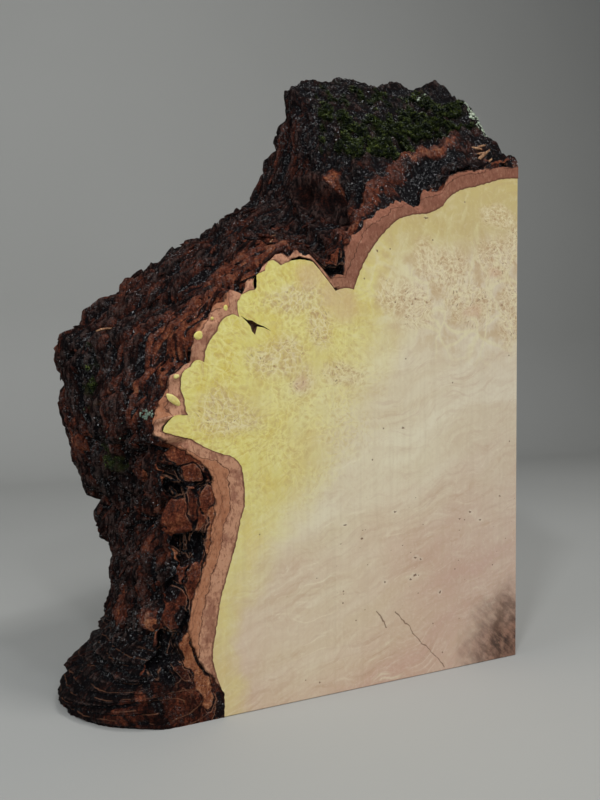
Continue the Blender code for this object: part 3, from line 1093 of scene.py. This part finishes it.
# long strands of lighter and darker bark
bent = back_grid + 1.6 * wave(along_grid / 18, back_grid / 9, 52)
strands = wave(along_grid / 30, bent / 2.1, 76) + 0.6 * wave(along_grid / 12, bent / 0.9, 77)
outer_tone = outer_tone + 0.34 * strands * (1 - 0.6 * on_crown)
outer_tone = outer_tone + 0.16 * wave(along_grid / 34, back_grid / 11, 78) * on_side
for middle, half, bright in OUTER_PATCHES:
    near = spot(along_grid + 0.5 * warp, back_grid + 0.3 * warp, middle, half, 0, 0.3)
    outer_tone = outer_tone + (bright - outer_tone) * near
for line, half_width, bright in BARE_BANDS:
    near = smooth_step(0, 0.6, along_line(along_grid, back_grid, line, half_width))
    outer_tone = outer_tone + (bright - outer_tone) * near
outer_tone = outer_tone + (0.17 - outer_tone) * broken_face
soaked = spot(along_grid + 0.5 * warp, back_grid, (34, 20), (12, 18), 0, 0.4)
outer_wet = 0.60 + 0.40 * np.maximum(on_crown, np.maximum(soaked, sunk))
outer_wet = outer_wet - broken_face - 0.45 * (1 - smooth_step(16, 24, along_grid))
outer_fields = {
    "from_wood_mm": 30,
    "past_inner_mm": 20,
    "crack_mm": 5,
    "cavity": cavity,
    "growth_mm": 30 + abs(along_grid - 9),
    "tone": outer_tone,
    "moss": moss_cover,
    "sawn": 0,
    "foot": on_foot,
    "wet": np.clip(outer_wet, 0, 1),
}

# bark from black through red-brown to pale orange, the thin pale lines in it, and the inner bark
BARK_COLOURS = (
    (0.00, (0.0030, 0.0020, 0.0023)),
    (0.20, (0.0110, 0.0040, 0.0033)),
    (0.38, (0.0420, 0.0110, 0.0065)),
    (0.56, (0.1250, 0.0320, 0.0160)),
    (0.76, (0.2900, 0.1050, 0.0470)),
    (1.00, (0.5000, 0.2450, 0.1300)),
)
INNER_PINK = (0.52, 0.272, 0.165)
INNER_ORANGE = (0.38, 0.150, 0.072)
INNER_RED = (0.24, 0.095, 0.062)
INNER_FLECK = (0.17, 0.070, 0.042)
LINE_TAN = (0.29, 0.140, 0.085)
GREY_BROWN = (0.090, 0.060, 0.052)
MOSS_BED = (0.008, 0.011, 0.005)
MOSS_FILM = (0.026, 0.030, 0.009)
# near black: the wet bark's own colour in cracks and lines, and painted shade in the recesses
WET_BLACK_AND_SHADE = (0.004, 0.0035, 0.0045)


def bark_finish():
    material, place = start_finish("maple_bark")
    cavity_field = place.field("cavity")
    moss = place.field("moss")
    foot = place.field("foot")
    sawn = place.field("sawn")
    from_wood = place.field("from_wood_mm")
    mottle = place.cloud(5, 4, 0.6)
    grain = place.cloud(0.9, 3, 0.65)
    fibres = place.stirred(6, 3).cloud((1.1, 1.1, 6), 3, 0.6)

    # every bark colour comes from one scale, with mottling and fine grain
    level = place.field("tone") + 0.60 * (mottle - 0.5) + 0.72 * (grain - 0.5)
    level = level + 0.56 * (fibres - 0.5)
    colour = place.add("ShaderNodeValToRGB", {"stops": BARK_COLOURS}, {"Fac": level})
    dry = cavity_field.between(0.42, 0.12) * fibres.between(0.42, 0.62) * (1 - sawn)
    # grey-brown on dry raised strands, and painted shade, near black, down in the recesses that the
    # cavity field marks
    colour = layered(
        colour,
        (dry * 0.42, GREY_BROWN),
        (cavity_field.between(0.50, 0.70) * 0.94, WET_BLACK_AND_SHADE),
    )
    bed = moss.between(0.48, 0.75).over(MOSS_FILM, MOSS_BED)
    colour = (moss * (0.5 + 1.1 * place.cloud(1.7, 3).between(0.38, 0.58))).over(colour, bed)

    # thin pale lines between the firm parts of sawn bark
    wobble = 0.9 * (place.cloud(2.5, 3) - 0.5)
    crack = place.field("crack_mm") + wobble
    shown = place.cloud(6, 2).between(0.46, 0.56) * (1 - foot)
    colour = layered(
        colour,
        (crack.between(0.50, 0.20) * sawn * (1 - foot) * 0.9, WET_BLACK_AND_SHADE),
        (abs(crack - 0.50).between(0.20, 0.06) * sawn * shown * 0.62, LINE_TAN),
    )

    # layers of growth, as thin pale wavy lines, plainest on the foot
    turn = place.field("growth_mm") / 3.4 + 1.4 * place.cloud((20, 20, 9), 3)
    layer = abs(turn.math("FRACT", turn, 0) - 0.5)
    drawn = place.cloud((10, 10, 4), 2).between(0.44, 0.54)
    lined = (foot * 0.95 + sawn * 0.35) * (1 - cavity_field.between(0.55, 0.75)) * drawn
    colour = (layer.between(0.070, 0.025) * lined * 0.58).over(colour, (0.17, 0.075, 0.042))

    # inner bark beside the wood: pinkish and flecked, with a thin dark line through it
    past = place.field("past_inner_mm") + 3.5 * (place.cloud(5, 4, 0.6) - 0.5)
    past = past + 6 * (place.cloud(15, 2) - 0.5)
    inner = (mottle.between(0.47, 0.61) * 0.72).over(INNER_PINK, INNER_RED)
    thread = from_wood + 7 * (place.cloud(9, 4, 0.6) - 0.5)
    inner = layered(
        inner,
        (thread.between(4.6, 6.4) * 0.75, INNER_ORANGE),
        (place.field("wet").between(0.45, 0.85) * 0.90, INNER_RED),
    )
    flecks = place.stirred(5, 3).cloud((0.9, 0.9, 2.2), 3, 0.7)
    inner = layered(
        inner,
        (flecks.between(0.50, 0.66) * 0.65, INNER_FLECK),
        (flecks.between(0.46, 0.32) * 0.35, (0.50, 0.30, 0.20)),
    )
    threads = abs(thread - 5.4).between(0.26, 0.08) + abs(thread - 9.4).between(0.30, 0.08) * 0.5
    inner = (threads * 0.8).over(inner, (0.075, 0.030, 0.020))
    outlined = from_wood + 0.9 * (place.cloud(3, 3) - 0.5)
    inner = (outlined.between(0.9, 0.3) * 0.75).over(inner, (0.11, 0.045, 0.028))
    is_inner = past.between(0.5, -0.5) * (1 - cavity_field.between(0.60, 0.75))
    colour = layered(
        colour,
        (is_inner, inner),
        (abs(past - 0.25).between(0.30, 0.10) * (1 - is_inner) * sawn * 0.8, WET_BLACK_AND_SHADE),
    )

    grit = place.cloud(0.5, 2, 0.7)
    relief = (grain + grit * 0.8 + fibres * 0.9) * (1 - 0.80 * is_inner)
    coat(material, {
        "Base Color": colour, "Roughness": 0.85, "Specular IOR Level": 0.05,
        "Normal": relief.bumped(0.9, 0.0008),
    })

    # beads of water, where the bark is wet or hollow and neither inner bark nor moss
    wet = place.field("wet")
    damp = place.cloud(7, 3, 0.6).between(0.60, 0.40)
    open_bark = (1 - is_inner) * (1 - 0.6 * moss)
    in_hollow = cavity_field.between(0.5, 0.7) * wet.between(0, 0.3)
    soaked = most(wet * damp, in_hollow * 0.8) * open_bark
    glossy = soaked * place.cloud(1.3, 2).between(0.46, 0.58)
    drop = place.stirred(1.6, 0.9).cells(1.05)
    water = place.add("ShaderNodeBsdfPrincipled", (), {
        "Base Color": colour, "Roughness": 0.16, "Specular IOR Level": 0.90,
        "Normal": (0.5 - drop * drop).bumped(1, 0.0011),
    })
    dry = Shade(place.tree, place.tree.nodes["Principled BSDF"].outputs[0])
    mixed = place.add("ShaderNodeMixShader", (), {0: glossy, 1: dry, 2: water})
    place.feed(place.tree.nodes["Material Output"].inputs["Surface"], mixed)
    return material


maple_bark = bark_finish()
cleft_column = int(np.argmin(abs(column_places - CLEFT)))
stretches = {"bark_trunk": (0, cleft_column), "bark_crown": (cleft_column, COLUMNS)}
for stretch, (first, last) in stretches.items():
    cut = slice(first, last + 1)
    fields = {name: grid if np.isscalar(grid) else grid[cut] for name, grid in outer_fields.items()}
    mesh = patches_mesh(stretch, [(outer_points[cut], fields, True)])
    make_piece(stretch, mesh, maple_bark)


# The sawn bark. The saw cut through it on the front, back, base and straight side. The inner bark
# is sound and flat beside the wood, and black hollows break up the outer bark between firm blocks.

RING_ROWS = 64
BACK_RING_ROWS = 14
# width of the inner bark in mm, by station
INNER_WIDTH = (
    (0, 0.2), (1.2, 0.4), (1.6, 0.8), (2, 1.4), (2.6, 3.2), (3.2, 5.6), (3.6, 8), (4, 10),
    (5, 9.5), (6, 9.5), (7.1, 12), (7.6, 10), (8.2, 5.5), (8.7, 3), (9.2, 11), (9.8, 9.5),
    (10.4, 6), (11.5, 3.6), (12.6, 5), (13.6, 8), (14.3, 6), (15, 3), (15.8, 5), (17, 4),
    (18, 6), (19, 9.5), (20.5, 9), (22.6, 9.5), (23.3, 7.5), (LAST, 5.2),
)
# hollows in the sawn front: middle, half size, tilt and depth
FRONT_HOLLOWS = (
    ((-144.5, 61), (8.5, 5.5), 8, 5.5),
    ((-154, 47.5), (6, 6.5), 0, 5),
    ((-155, 27), (8, 6.5), 0, 5),
    ((-156, 58), (4, 6), 20, 4.5),
    ((-156.5, 73), (3.5, 6), 0, 4),
    ((-151, 88), (4.5, 2), -30, 2.5),
    ((-146.8, 36), (2.2, 6), 10, 3),
    ((-140.5, 84), (2.4, 3), 0, 2.5),
    ((-149.5, 82), (5, 1.6), -20, 3),
)
# firm blocks of orange and red-brown bark: middle, half size, tilt and how bright
FRONT_BLOCKS = (
    ((-149, 71.5), (6, 7), 10, 0.51),
    ((-137.8, 77.5), (3.8, 5.2), 0, 0.54),
    ((-143.6, 76), (2, 7), 6, 0.42),
    ((-150.5, 57.5), (3, 3.6), 10, 0.74),
    ((-142.6, 49.5), (3, 7), -8, 0.49),
    ((-149.8, 40.5), (4.6, 8), -6, 0.42),
    ((-147, 94), (10, 4.5), -35, 0.52),
    ((-143.5, 86.5), (5, 3), -30, 0.55),
    ((-158, 84), (5, 6), 0, 0.34),
)
# the pale layer of bark that runs down to a round end at the foot, with its half width
PALE_LAYER = (
    (-136.3, 73.5), (-136.8, 66), (-138, 56), (-140, 44), (-143.5, 34), (-146.8, 28.5),
    (-144.8, 22), (-140.5, 14.5), (-138.2, 8.5), (-138, 6),
)
PALE_HALF_WIDTH = 1.9
# islands of yellow wood in the sawn bark: middle, half size and tilt
ISLANDS = (
    ((-141, 134), (1.8, 1.5), 10),
    ((-131.5, 144), (0.8, 1.2), 0),
    ((-149.8, 111.9), (3.3, 1.2), -38),
    ((-149, 119.9), (1, 0.8), 20),
    ((-136.4, 140.2), (0.6, 0.6), 0),
)


def ring(wood, edge, width_rows):
    """Points (x, z) across the bark from the wood to the outside, and their distances to each."""
    share = np.linspace(0, 1, width_rows + 1)[None, :, None]
    points = wood[:, None, :] * (1 - share) + edge[:, None, :] * share
    width = np.linalg.norm(edge - wood, axis=1)[:, None]
    return points, width * share[..., 0], width * (1 - share[..., 0])


def firm_parts(x, z, from_wood, along):
    """The firm parts of sawn bark: how far places are inside one, in mm, how bright it is, and its
    own number."""
    shift_x = x + 1.7 * wave(x / 5, z / 5, 91) + 0.5 * wave(x / 1.7, z / 1.7, 93)
    shift_z = z + 1.7 * wave(x / 5, z / 5, 92) + 0.5 * wave(x / 1.7, z / 1.7, 94)
    bend = 2.5 * wave(x / 9, z / 9, 89)
    edge, own = plates_and_cracks((along + bend) / 9.5, (from_wood + bend) / 4.2, 87)
    within, tone = edge * 6, 0.14 + 0.50 * own ** 1.6
    for middle, half, tilt, bright in FRONT_BLOCKS:
        inside_by = (1 - from_middle(shift_x, shift_z, middle, half, tilt)) * min(half)
        tone = np.where(inside_by > 0, bright, tone)
        within = np.where(inside_by > -1, abs(inside_by), within)
    inside_by = PALE_HALF_WIDTH - line_distance(shift_x, shift_z, PALE_LAYER)
    tone = np.where((inside_by > -4.5) & (z < 32), 0.36, tone)
    tone = np.where(inside_by > 0, 0.74, tone)
    within = np.where(inside_by > -1, abs(inside_by), within)
    return within, tone, own


def ring_fields(points, from_wood, to_edge, places, along, hollow=0):
    """The fields that the bark's finish reads, for a stretch of sawn bark."""
    x, z = points[..., 0], points[..., 1]
    within, tone, _ = firm_parts(x, z, from_wood, along)
    lobe_bark = window(9, 10, 16, 17, places)
    tone = tone + lobe_bark * (0.40 - tone) * 0.6
    low = 1 - smooth_step(8, 22, z)
    round_foot = np.hypot(np.maximum(0, x + 152) * 0.55, z - 9)
    return {
        "from_wood_mm": from_wood,
        "past_inner_mm": from_wood - np.interp(places, *zip(*INNER_WIDTH)),
        "crack_mm": within,
        # the deeper a hollow in the sawn front, the more painted shade the finish puts in it
        "cavity": np.clip(0.40 + hollow / 3.2, 0, 1),
        "growth_mm": 30 + round_foot * low + from_wood * (1 - low),
        "tone": tone,
        "moss": 0,
        "sawn": smooth_step(0.3, 2, to_edge),
        "foot": low * smooth_step(3, 15, from_wood),
        "wet": 0.35 + 0.22 * lobe_bark + 0.5 * smooth_step(17, 18.6, places),
    }


def front_hollow(points, from_wood, to_edge, places, along):
    """How far back the sawn front lies from the saw's plane, in mm."""
    x, z = points[..., 0], points[..., 1]
    past_inner = from_wood - np.interp(places, *zip(*INNER_WIDTH))
    outer_bark = smooth_step(-0.2, 1, past_inner)
    within, tone, own = firm_parts(x, z, from_wood, along)
    shift_x = x + 1.8 * wave(x / 5, z / 5, 95) + 0.7 * wave(x / 1.9, z / 1.9, 90)
    shift_z = z + 1.8 * wave(x / 5, z / 5, 96)
    depth = 0.55 * abs(wave(x / 2.4, z / 2.4, 97)) + 0.35 * abs(wave(x / 0.9, z / 0.9, 98))
    depth = depth + 0.9 * smooth_step(0.5, 0, within)
    depth = depth + 3.4 * (own < 0.30) * (tone < 0.30) * smooth_step(0.25, 0.9, within)
    for middle, half, tilt, deep in FRONT_HOLLOWS:
        depth = depth + deep * spot(shift_x, shift_z, middle, half, tilt, 0.22)
    firm = np.zeros(x.shape)
    for middle, half, tilt, bright in FRONT_BLOCKS:
        block = spot(shift_x, shift_z, middle, half, tilt, 0.12)
        firm = np.maximum(firm, block * min(1, bright * 1.6))
    for middle, half, tilt in ISLANDS:
        firm = np.maximum(firm, spot(x, z, middle, (half[0] + 1.2, half[1] + 1.2), tilt, 0.3))
    line = line_distance(shift_x, shift_z, PALE_LAYER)
    firm = np.maximum(firm, 1 - smooth_step(PALE_HALF_WIDTH - 0.3, PALE_HALF_WIDTH + 0.4, line))
    low = (1 - smooth_step(14, 20, z)) * 0.85
    depth = depth * outer_bark * (1 - 0.94 * np.maximum(firm, low)) + 0.08 * outer_bark
    # the dry gap between the left lobe and the bark in the cleft
    in_gap = window(16.1, 16.5, 17.85, 18, places)
    gap_edge = from_wood + 0.5 * wave(x / 2, z / 2, 86)
    gap = smooth_step(0, 0.2, from_wood) * (1 - smooth_step(0.8, 1.5, gap_edge))
    depth = depth + 4 * gap * in_gap
    return depth * smooth_step(0, 1.5, to_edge)


front_ring, front_from, front_to = ring(front_wood, outer[:, 0, :], RING_ROWS)
front_depth = front_hollow(front_ring, front_from, front_to, place_grid, along_grid)
front_points = at_back(front_ring, front_depth + corner_depth * corner_share(front_to))
front_fields = ring_fields(front_ring, front_from, front_to, place_grid, along_grid, front_depth)

back_ring, back_from, back_to = ring(back_wood, outer[:, -1, :], BACK_RING_ROWS)
back_points = at_back(back_ring, THICKNESS)
back_fields = ring_fields(back_ring, back_from, back_to, place_grid, along_grid)


def end_cap(column, axis):
    """The bark where the base or the straight side cuts it, from the front ring to the back."""
    deep, back = deep_grid[column][:, None], back_grid[column][:, None]
    wood = front_wood[column] * (1 - deep) + back_wood[column] * deep
    flat, from_wood, to_edge = ring(wood, outer[column], RING_ROWS)
    points = at_back(flat, back)
    points[0] = front_points[column]
    points[..., axis] = 0
    return points, ring_fields(flat, from_wood, to_edge, column_places[column], back)


base_points, base_fields = end_cap(0, 2)
side_points, side_fields = end_cap(COLUMNS, 0)
sawn_patches = [
    (front_points, front_fields, False),
    (back_points, back_fields, True),
    (base_points, base_fields, False),
    (side_points, side_fields, True),
]
make_piece("bark_sawn", patches_mesh("bark_sawn", sawn_patches), maple_bark)


# Islands of burl wood. The burl's outermost teeth end in the bark, where the saw shows each one as
# a small yellow oval, sound and flush with the cut.

def islands_mesh():
    corners, faces = [], []
    rings, sides = 5, 28
    for number, (middle, half, tilt) in enumerate(ISLANDS):
        first = len(corners)
        turn = math.radians(tilt)
        for k in range(rings + 1):
            share = k / rings
            for n in range(sides):
                angle = 2 * math.pi * n / sides
                right, up = math.cos(angle), math.sin(angle)
                reach = share * (1 + 0.18 * noise.noise((right * 1.3, up * 1.3, number * 3)))
                u, v = half[0] * reach * right, half[1] * reach * up
                x = middle[0] + u * math.cos(turn) - v * math.sin(turn)
                z = middle[1] + u * math.sin(turn) + v * math.cos(turn)
                corners.append((x, 0.5 * share ** 6, z))
        for k in range(rings):
            for n in range(sides):
                a, b = first + k * sides + n, first + k * sides + (n + 1) % sides
                faces.append((a, a + sides, b + sides, b) if k else (a, a + sides, b + sides))
    corners = np.array(corners)
    return make_mesh("burl_islands", corners, faces, {"sapwood_mm": np.full(len(corners), 2)}, True)


make_piece("burl_islands", islands_mesh(), burl_wood.data.materials[0])


# Loose flakes of bark. The outermost sheets have split into chips and strands. They still hang on
# at one end, along the flow of the bark, and stand out of it by a millimetre or less.

FLAKES = 380
FLAKE_SIDES = 10
# over how many columns and rows the bark's own direction is taken
SPAN = 4


def lie_on_bark(spots):
    """For places (along, back) on the outside: the point, and the directions along and out."""
    columns = np.searchsorted(column_along, [spot_along for spot_along, _ in spots])
    columns = np.clip(columns, SPAN, COLUMNS - SPAN)
    found = []
    for column, (_, back) in zip(columns, spots):
        row = int(np.clip(np.searchsorted(back_grid[column], back), 1, DEEP_ROWS - SPAN))
        along = unit(outer_points[column + SPAN, row] - outer_points[column - SPAN, row])
        before = max(row - SPAN, 0)
        across = unit(outer_points[column, row + SPAN] - outer_points[column, before])
        found.append((outer_points[column, row], along, unit(np.cross(along, across))))
    return found


def chips_mesh(name, places, sizes, lifts, sink, fields, seed):
    """Thin irregular chips on the bark. Each has its own length, width, thickness and tilt."""
    random = np.random.default_rng(seed)
    corners, faces = [], []
    for (point, along, out), (long, wide, thick), lift in zip(places, sizes, lifts):
        along = unit(along * math.cos(lift) + out * math.sin(lift))
        across = unit(np.cross(out, along))
        up = np.cross(along, across)
        first = len(corners)
        reach = random.uniform(0.72, 1.1, FLAKE_SIDES)
        for share, rise in ((0.80, -0.5), (1, 0), (0.70, 0.5)):
            for n in range(FLAKE_SIDES):
                angle = 2 * math.pi * n / FLAKE_SIDES
                flat = along * math.cos(angle) * long / 2 + across * math.sin(angle) * wide / 2
                high = rise * thick + random.uniform(-0.12, 0.12) * thick
                corners.append(point - out * sink + flat * share * reach[n] + up * high)
        middle = point - out * sink
        corners += [middle - up * thick / 2, middle + up * thick * 0.6]
        for n in range(FLAKE_SIDES):
            a, b = first + n, first + (n + 1) % FLAKE_SIDES
            for ring in (0, FLAKE_SIDES):
                faces.append((a + ring, b + ring, b + ring + FLAKE_SIDES, a + ring + FLAKE_SIDES))
            under = first + 3 * FLAKE_SIDES
            faces += [(b, a, under), (a + 2 * FLAKE_SIDES, b + 2 * FLAKE_SIDES, under + 1)]
    corners = np.clip(corners, (LEFT, 0, 0), (0, THICKNESS, TOP))
    each = 3 * FLAKE_SIDES + 2
    for field, values in fields.items():
        fields[field] = np.repeat(np.broadcast_to(values, len(places)), each)
    return make_mesh(name, corners, faces, fields, False)


random = np.random.default_rng(44)
spots = []
while len(spots) < FLAKES:
    flake_along, flake_back = random.uniform(34, 262), random.uniform(2, THICKNESS - 1)
    column = min(int(np.searchsorted(column_along, flake_along)), COLUMNS)
    row = min(int(np.searchsorted(back_grid[column], flake_back)), DEEP_ROWS)
    if moss_cover[column, row] < 0.3 and broken_face[column, row] < 0.1:
        spots.append((flake_along, flake_back))
sizes = random.uniform((4, 1, 0.5), (13, 2.4, 1.2), (FLAKES, 3))
sizes[:, 0] = sizes[:, 0] * (0.45 + 0.55 * smooth_step(150, 185, np.array(spots)[:, 0]))
flake_fields = {
    "from_wood_mm": 30, "past_inner_mm": 20, "crack_mm": 5, "cavity": 0.34, "growth_mm": 0,
    "tone": random.uniform(0.08, 0.40, FLAKES), "moss": 0, "sawn": 0, "foot": 0, "wet": 0.6,
}
lifts = random.uniform(-0.16, 0.16, FLAKES)
flakes = chips_mesh("bark_flakes", lie_on_bark(spots), sizes, lifts, 0.1, flake_fields, 45)
make_piece("bark_flakes", flakes, maple_bark)


# Dry splinters. They are torn strands of bark that have dried to a pale orange tan, and each lies
# where it was torn.

SPLINTERS = (
    # along, back, length, width
    (344, 10.5, 9, 1.8), (345.5, 12, 8.5, 1.5), (343, 13.2, 7, 1.4), (347, 9.2, 6, 1.2),
    (346.5, 13.8, 5, 1.2), (216, 19, 7, 1.2), (219, 21, 5, 0.9), (148, 38, 7, 1.4),
    (151, 36, 4, 2),
)


def dry_finish():
    material, place = start_finish("dry_bark")
    fibres = place.cloud(0.8, 3, 0.7)
    colour = fibres.between(0.38, 0.62).over((0.16, 0.07, 0.035), (0.46, 0.27, 0.15))
    return coat(material, {"Base Color": colour, "Roughness": 0.85, "Specular IOR Level": 0.2})


places = lie_on_bark([(along, back) for along, back, _, _ in SPLINTERS])
sizes = [(long, wide, 0.7) for _, _, long, wide in SPLINTERS]
lifts = [0.20 * (-1) ** n for n in range(len(SPLINTERS))]
splinters = chips_mesh("dry_splinters", places, sizes, lifts, -0.3, {}, 46)
make_piece("dry_splinters", splinters, dry_finish())


# Lichen. Pale green-white flakes grow along the rim of the crown by the straight side, and a small
# blue-green crust on the left bulge by the front face.

LICHEN = (
    # along and back, the half sizes of the patch, how many flakes, and how large each one is
    ((353.5, 29), (2.5, 11), 110, 1.7),
    ((336, 44), (5, 4), 10, 1.6),
    ((113, 5.5), (2.2, 2.2), 22, 1.3),
    ((106, 16), (5, 3), 8, 0.9),
)


def lichen_finish():
    material, place = start_finish("pale_lichen")
    shade = place.cloud(1.4, 3, 0.6).between(0.38, 0.62)
    pale = shade.over((0.20, 0.25, 0.17), (0.52, 0.57, 0.45))
    bluish = shade.over((0.07, 0.10, 0.08), (0.20, 0.26, 0.20))
    colour = place.axis(2).between(150, 190).over(bluish, pale)
    return coat(material, {"Base Color": colour, "Roughness": 0.9, "Specular IOR Level": 0.1})


random = np.random.default_rng(61)
spots, sizes = [], []
for middle, half, count, size in LICHEN:
    for _ in range(count):
        angle, away = random.uniform(0, 2 * math.pi), math.sqrt(random.uniform(0, 1))
        right, up = away * math.cos(angle), away * math.sin(angle)
        spots.append((middle[0] + half[0] * right, middle[1] + half[1] * up))
        wide = size * random.uniform(0.5, 1.1)
        sizes.append((wide, wide * random.uniform(0.6, 1), 0.3))
lifts = random.uniform(-0.7, 0.7, len(spots))
lichen_chips = chips_mesh("lichen", lie_on_bark(spots), sizes, lifts, -0.25, {}, 62)
make_piece("lichen_flakes", lichen_chips, lichen_finish())


# Moss on the crown and in the furrows of the trunk. It is a live mat of short green shoots, each a
# tuft of pointed leaves, which holds water and hides the bark under it.

TUFTS = 10600
BLADES = 6
# half widths of a leaf, at its foot and at its middle
BLADE_FOOT = 0.11
BLADE_MIDDLE = 0.20


def moss_mesh():
    random = np.random.default_rng(21)
    along_step = np.roll(outer_points, -1, axis=0) - outer_points
    back_step = np.roll(outer_points, -1, axis=1) - outer_points
    normals = np.cross(along_step, back_step)[:-1, :-1]
    area = np.linalg.norm(normals, axis=-1)
    normals = normals / np.maximum(area, 1e-6)[..., None]
    weight = np.clip(moss_cover[:-1, :-1] - 0.30, 0, None) ** 1.1 * area
    weight = weight * (normals[..., 2] > -0.2)
    chosen = random.choice(weight.size, TUFTS, p=(weight / weight.sum()).ravel())
    root = outer_points[:-1, :-1].reshape(-1, 3)[chosen] + random.uniform(-0.3, 0.3, (TUFTS, 3))
    up = normals.reshape(-1, 3)[chosen]
    up = unit(up + np.array([0, 0, 0.35]))
    side = unit(np.cross(up, random.normal(size=(TUFTS, 3))))
    other = np.cross(up, side)
    tall = random.uniform(0.7, 1.7, TUFTS)
    shade = random.uniform(0, 1, TUFTS)
    corners, shades, tips = [], [], []
    for blade in range(BLADES):
        angle = 2 * math.pi * blade / BLADES + random.uniform(-0.4, 0.4, TUFTS)
        out = np.cos(angle)[:, None] * side + np.sin(angle)[:, None] * other
        lean = random.uniform(0.25, 1, TUFTS)[:, None]
        length = (tall * random.uniform(0.7, 1.1, TUFTS))[:, None]
        across = np.cross(up, out)
        base = root + out * 0.10 - up * 0.15
        middle = root + (out * lean * 0.55 + up * 0.6) * length
        tip = root + (out * lean * 1.1 + up * 0.8) * length
        low, wide = across * BLADE_FOOT, across * BLADE_MIDDLE
        blade_points = [base + low, base - low, middle - wide, middle + wide, tip]
        corners.append(np.stack(blade_points, axis=1))
        shades.append(np.repeat(shade[:, None], 5, axis=1))
        tips.append(np.tile([0, 0, 0.6, 0.6, 1], (TUFTS, 1)))
    corners = np.concatenate(corners).reshape(-1, 3)
    first = np.arange(TUFTS * BLADES) * 5
    quads = np.stack([first, first + 1, first + 2, first + 3], axis=1).tolist()
    ends = np.stack([first + 3, first + 2, first + 4], axis=1).tolist()
    fields = {"shade": np.concatenate(shades).ravel(), "tip": np.concatenate(tips).ravel()}
    return make_mesh("moss_shoots", corners, quads + ends, fields, True)


def moss_finish():
    material, place = start_finish("green_moss")
    patch = place.cloud(3.4, 4, 0.65).between(0.44, 0.60)
    colour = patch.over((0.010, 0.014, 0.009), (0.044, 0.060, 0.016))
    clump = place.cloud(1.3, 2, 0.6).between(0.48, 0.62)
    fresh = place.field("shade").between(0.30, 0.90) * clump * (0.20 + 0.80 * patch)
    colour = fresh.over(colour, (0.205, 0.250, 0.050))
    colour = place.field("tip").between(0, 0.8).over((0.004, 0.007, 0.002), colour)
    return coat(material, {"Base Color": colour, "Roughness": 0.28, "Specular IOR Level": 0.22})


make_piece("moss_shoots", moss_mesh(), moss_finish())


# The room. It is a plain pale floor that sweeps up behind, soft light from above and in front,
# small lamps that glint in the wet bark, and the camera at the photograph's height and angle.

CAMERA_FROM_CORNER = (-0.20126, -0.21816, 0.115)
CAMERA_TURN = -24.21
CAMERA_PITCH = -0.8
LENS = 29.25


def sweep_mesh():
    """The floor and the wall behind it, joined by a quarter round."""
    radius, wall, reach = 0.25, 0.85, 3
    profile = [(-reach, 0), (wall - radius, 0)]
    for k in range(1, 17):
        angle = math.pi / 2 * k / 16
        forward, rise = radius * math.sin(angle), radius - radius * math.cos(angle)
        profile.append((wall - radius + forward, rise))
    profile.append((wall, 2.5))
    corners = [(x, y, z) for y, z in profile for x in (-reach, reach)]
    faces = [(2 * k, 2 * k + 1, 2 * k + 3, 2 * k + 2) for k in range(len(profile) - 1)]
    mesh = bpy.data.meshes.new("pale_sweep")
    mesh.from_pydata(corners, [], faces)
    mesh.shade_smooth()
    return mesh


def sweep_finish():
    material, place = start_finish("pale_sweep")
    colour = place.cloud(260, 2).over((0.385, 0.385, 0.365), (0.415, 0.415, 0.395))
    return coat(material, {"Base Color": colour, "Roughness": 0.8})


sweep = bpy.data.objects.new("pale_sweep", sweep_mesh())
bpy.context.scene.collection.objects.link(sweep)
sweep.data.materials.append(sweep_finish())


# name, place, aim, size, watts and colour; the wet bark mirrors all of them but the first
LAMPS = (
    ("front_light", (0.10, -1.05, 0.80), (0, 0, 0.10), 1.3, 4.1, (1, 0.985, 0.96)),
    ("top_light", (0.30, -0.35, 1.10), (0, 0, 0.15), 0.2, 3.6, (1, 0.99, 0.98)),
    ("glint_light", (-0.55, -0.55, 0.95), (-0.05, 0, 0.15), 0.10, 3.2, (0.92, 0.96, 1)),
    ("glint_front", (-0.05, -0.95, 0.75), (-0.05, 0, 0.12), 0.08, 1.3, (0.92, 0.96, 1)),
    ("glint_high", (0.15, -0.50, 1.10), (-0.05, 0, 0.15), 0.08, 1, (0.92, 0.96, 1)),
    ("glint_low", (-0.45, -0.90, 0.45), (-0.08, 0, 0.08), 0.08, 0.8, (0.92, 0.96, 1)),
    ("left_light", (-1.20, -0.10, 0.50), (-0.05, 0, 0.10), 0.5, 3.4, (0.93, 0.96, 1)),
)
for name, place, aim, size, watts, colour in LAMPS:
    data = bpy.data.lights.new(name, "AREA")
    data.size, data.energy, data.color = size, watts, colour
    lamp = bpy.data.objects.new(name, data)
    lamp.location = place
    lamp.rotation_euler = (Vector(aim) - Vector(place)).to_track_quat("-Z", "Y").to_euler()
    lamp.visible_glossy = name != "front_light"
    bpy.context.scene.collection.objects.link(lamp)

world = bpy.data.worlds.new("studio")
bpy.context.scene.world = world
world.use_nodes = True
background = world.node_tree.nodes["Background"]
background.inputs["Color"].default_value = (0.92, 0.95, 1, 1)
background.inputs["Strength"].default_value = 0.15
bpy.context.scene.view_settings.view_transform = "Standard"

camera_data = bpy.data.cameras.new("photograph_view")
camera_data.lens = LENS
camera_data.sensor_width = 36
camera = bpy.data.objects.new("photograph_view", camera_data)
camera.location = Vector((block_high.x, block_low.y, 0)) + Vector(CAMERA_FROM_CORNER)
camera.rotation_euler = (math.radians(90 + CAMERA_PITCH), 0, math.radians(CAMERA_TURN))
bpy.context.scene.collection.objects.link(camera)
bpy.context.scene.camera = camera
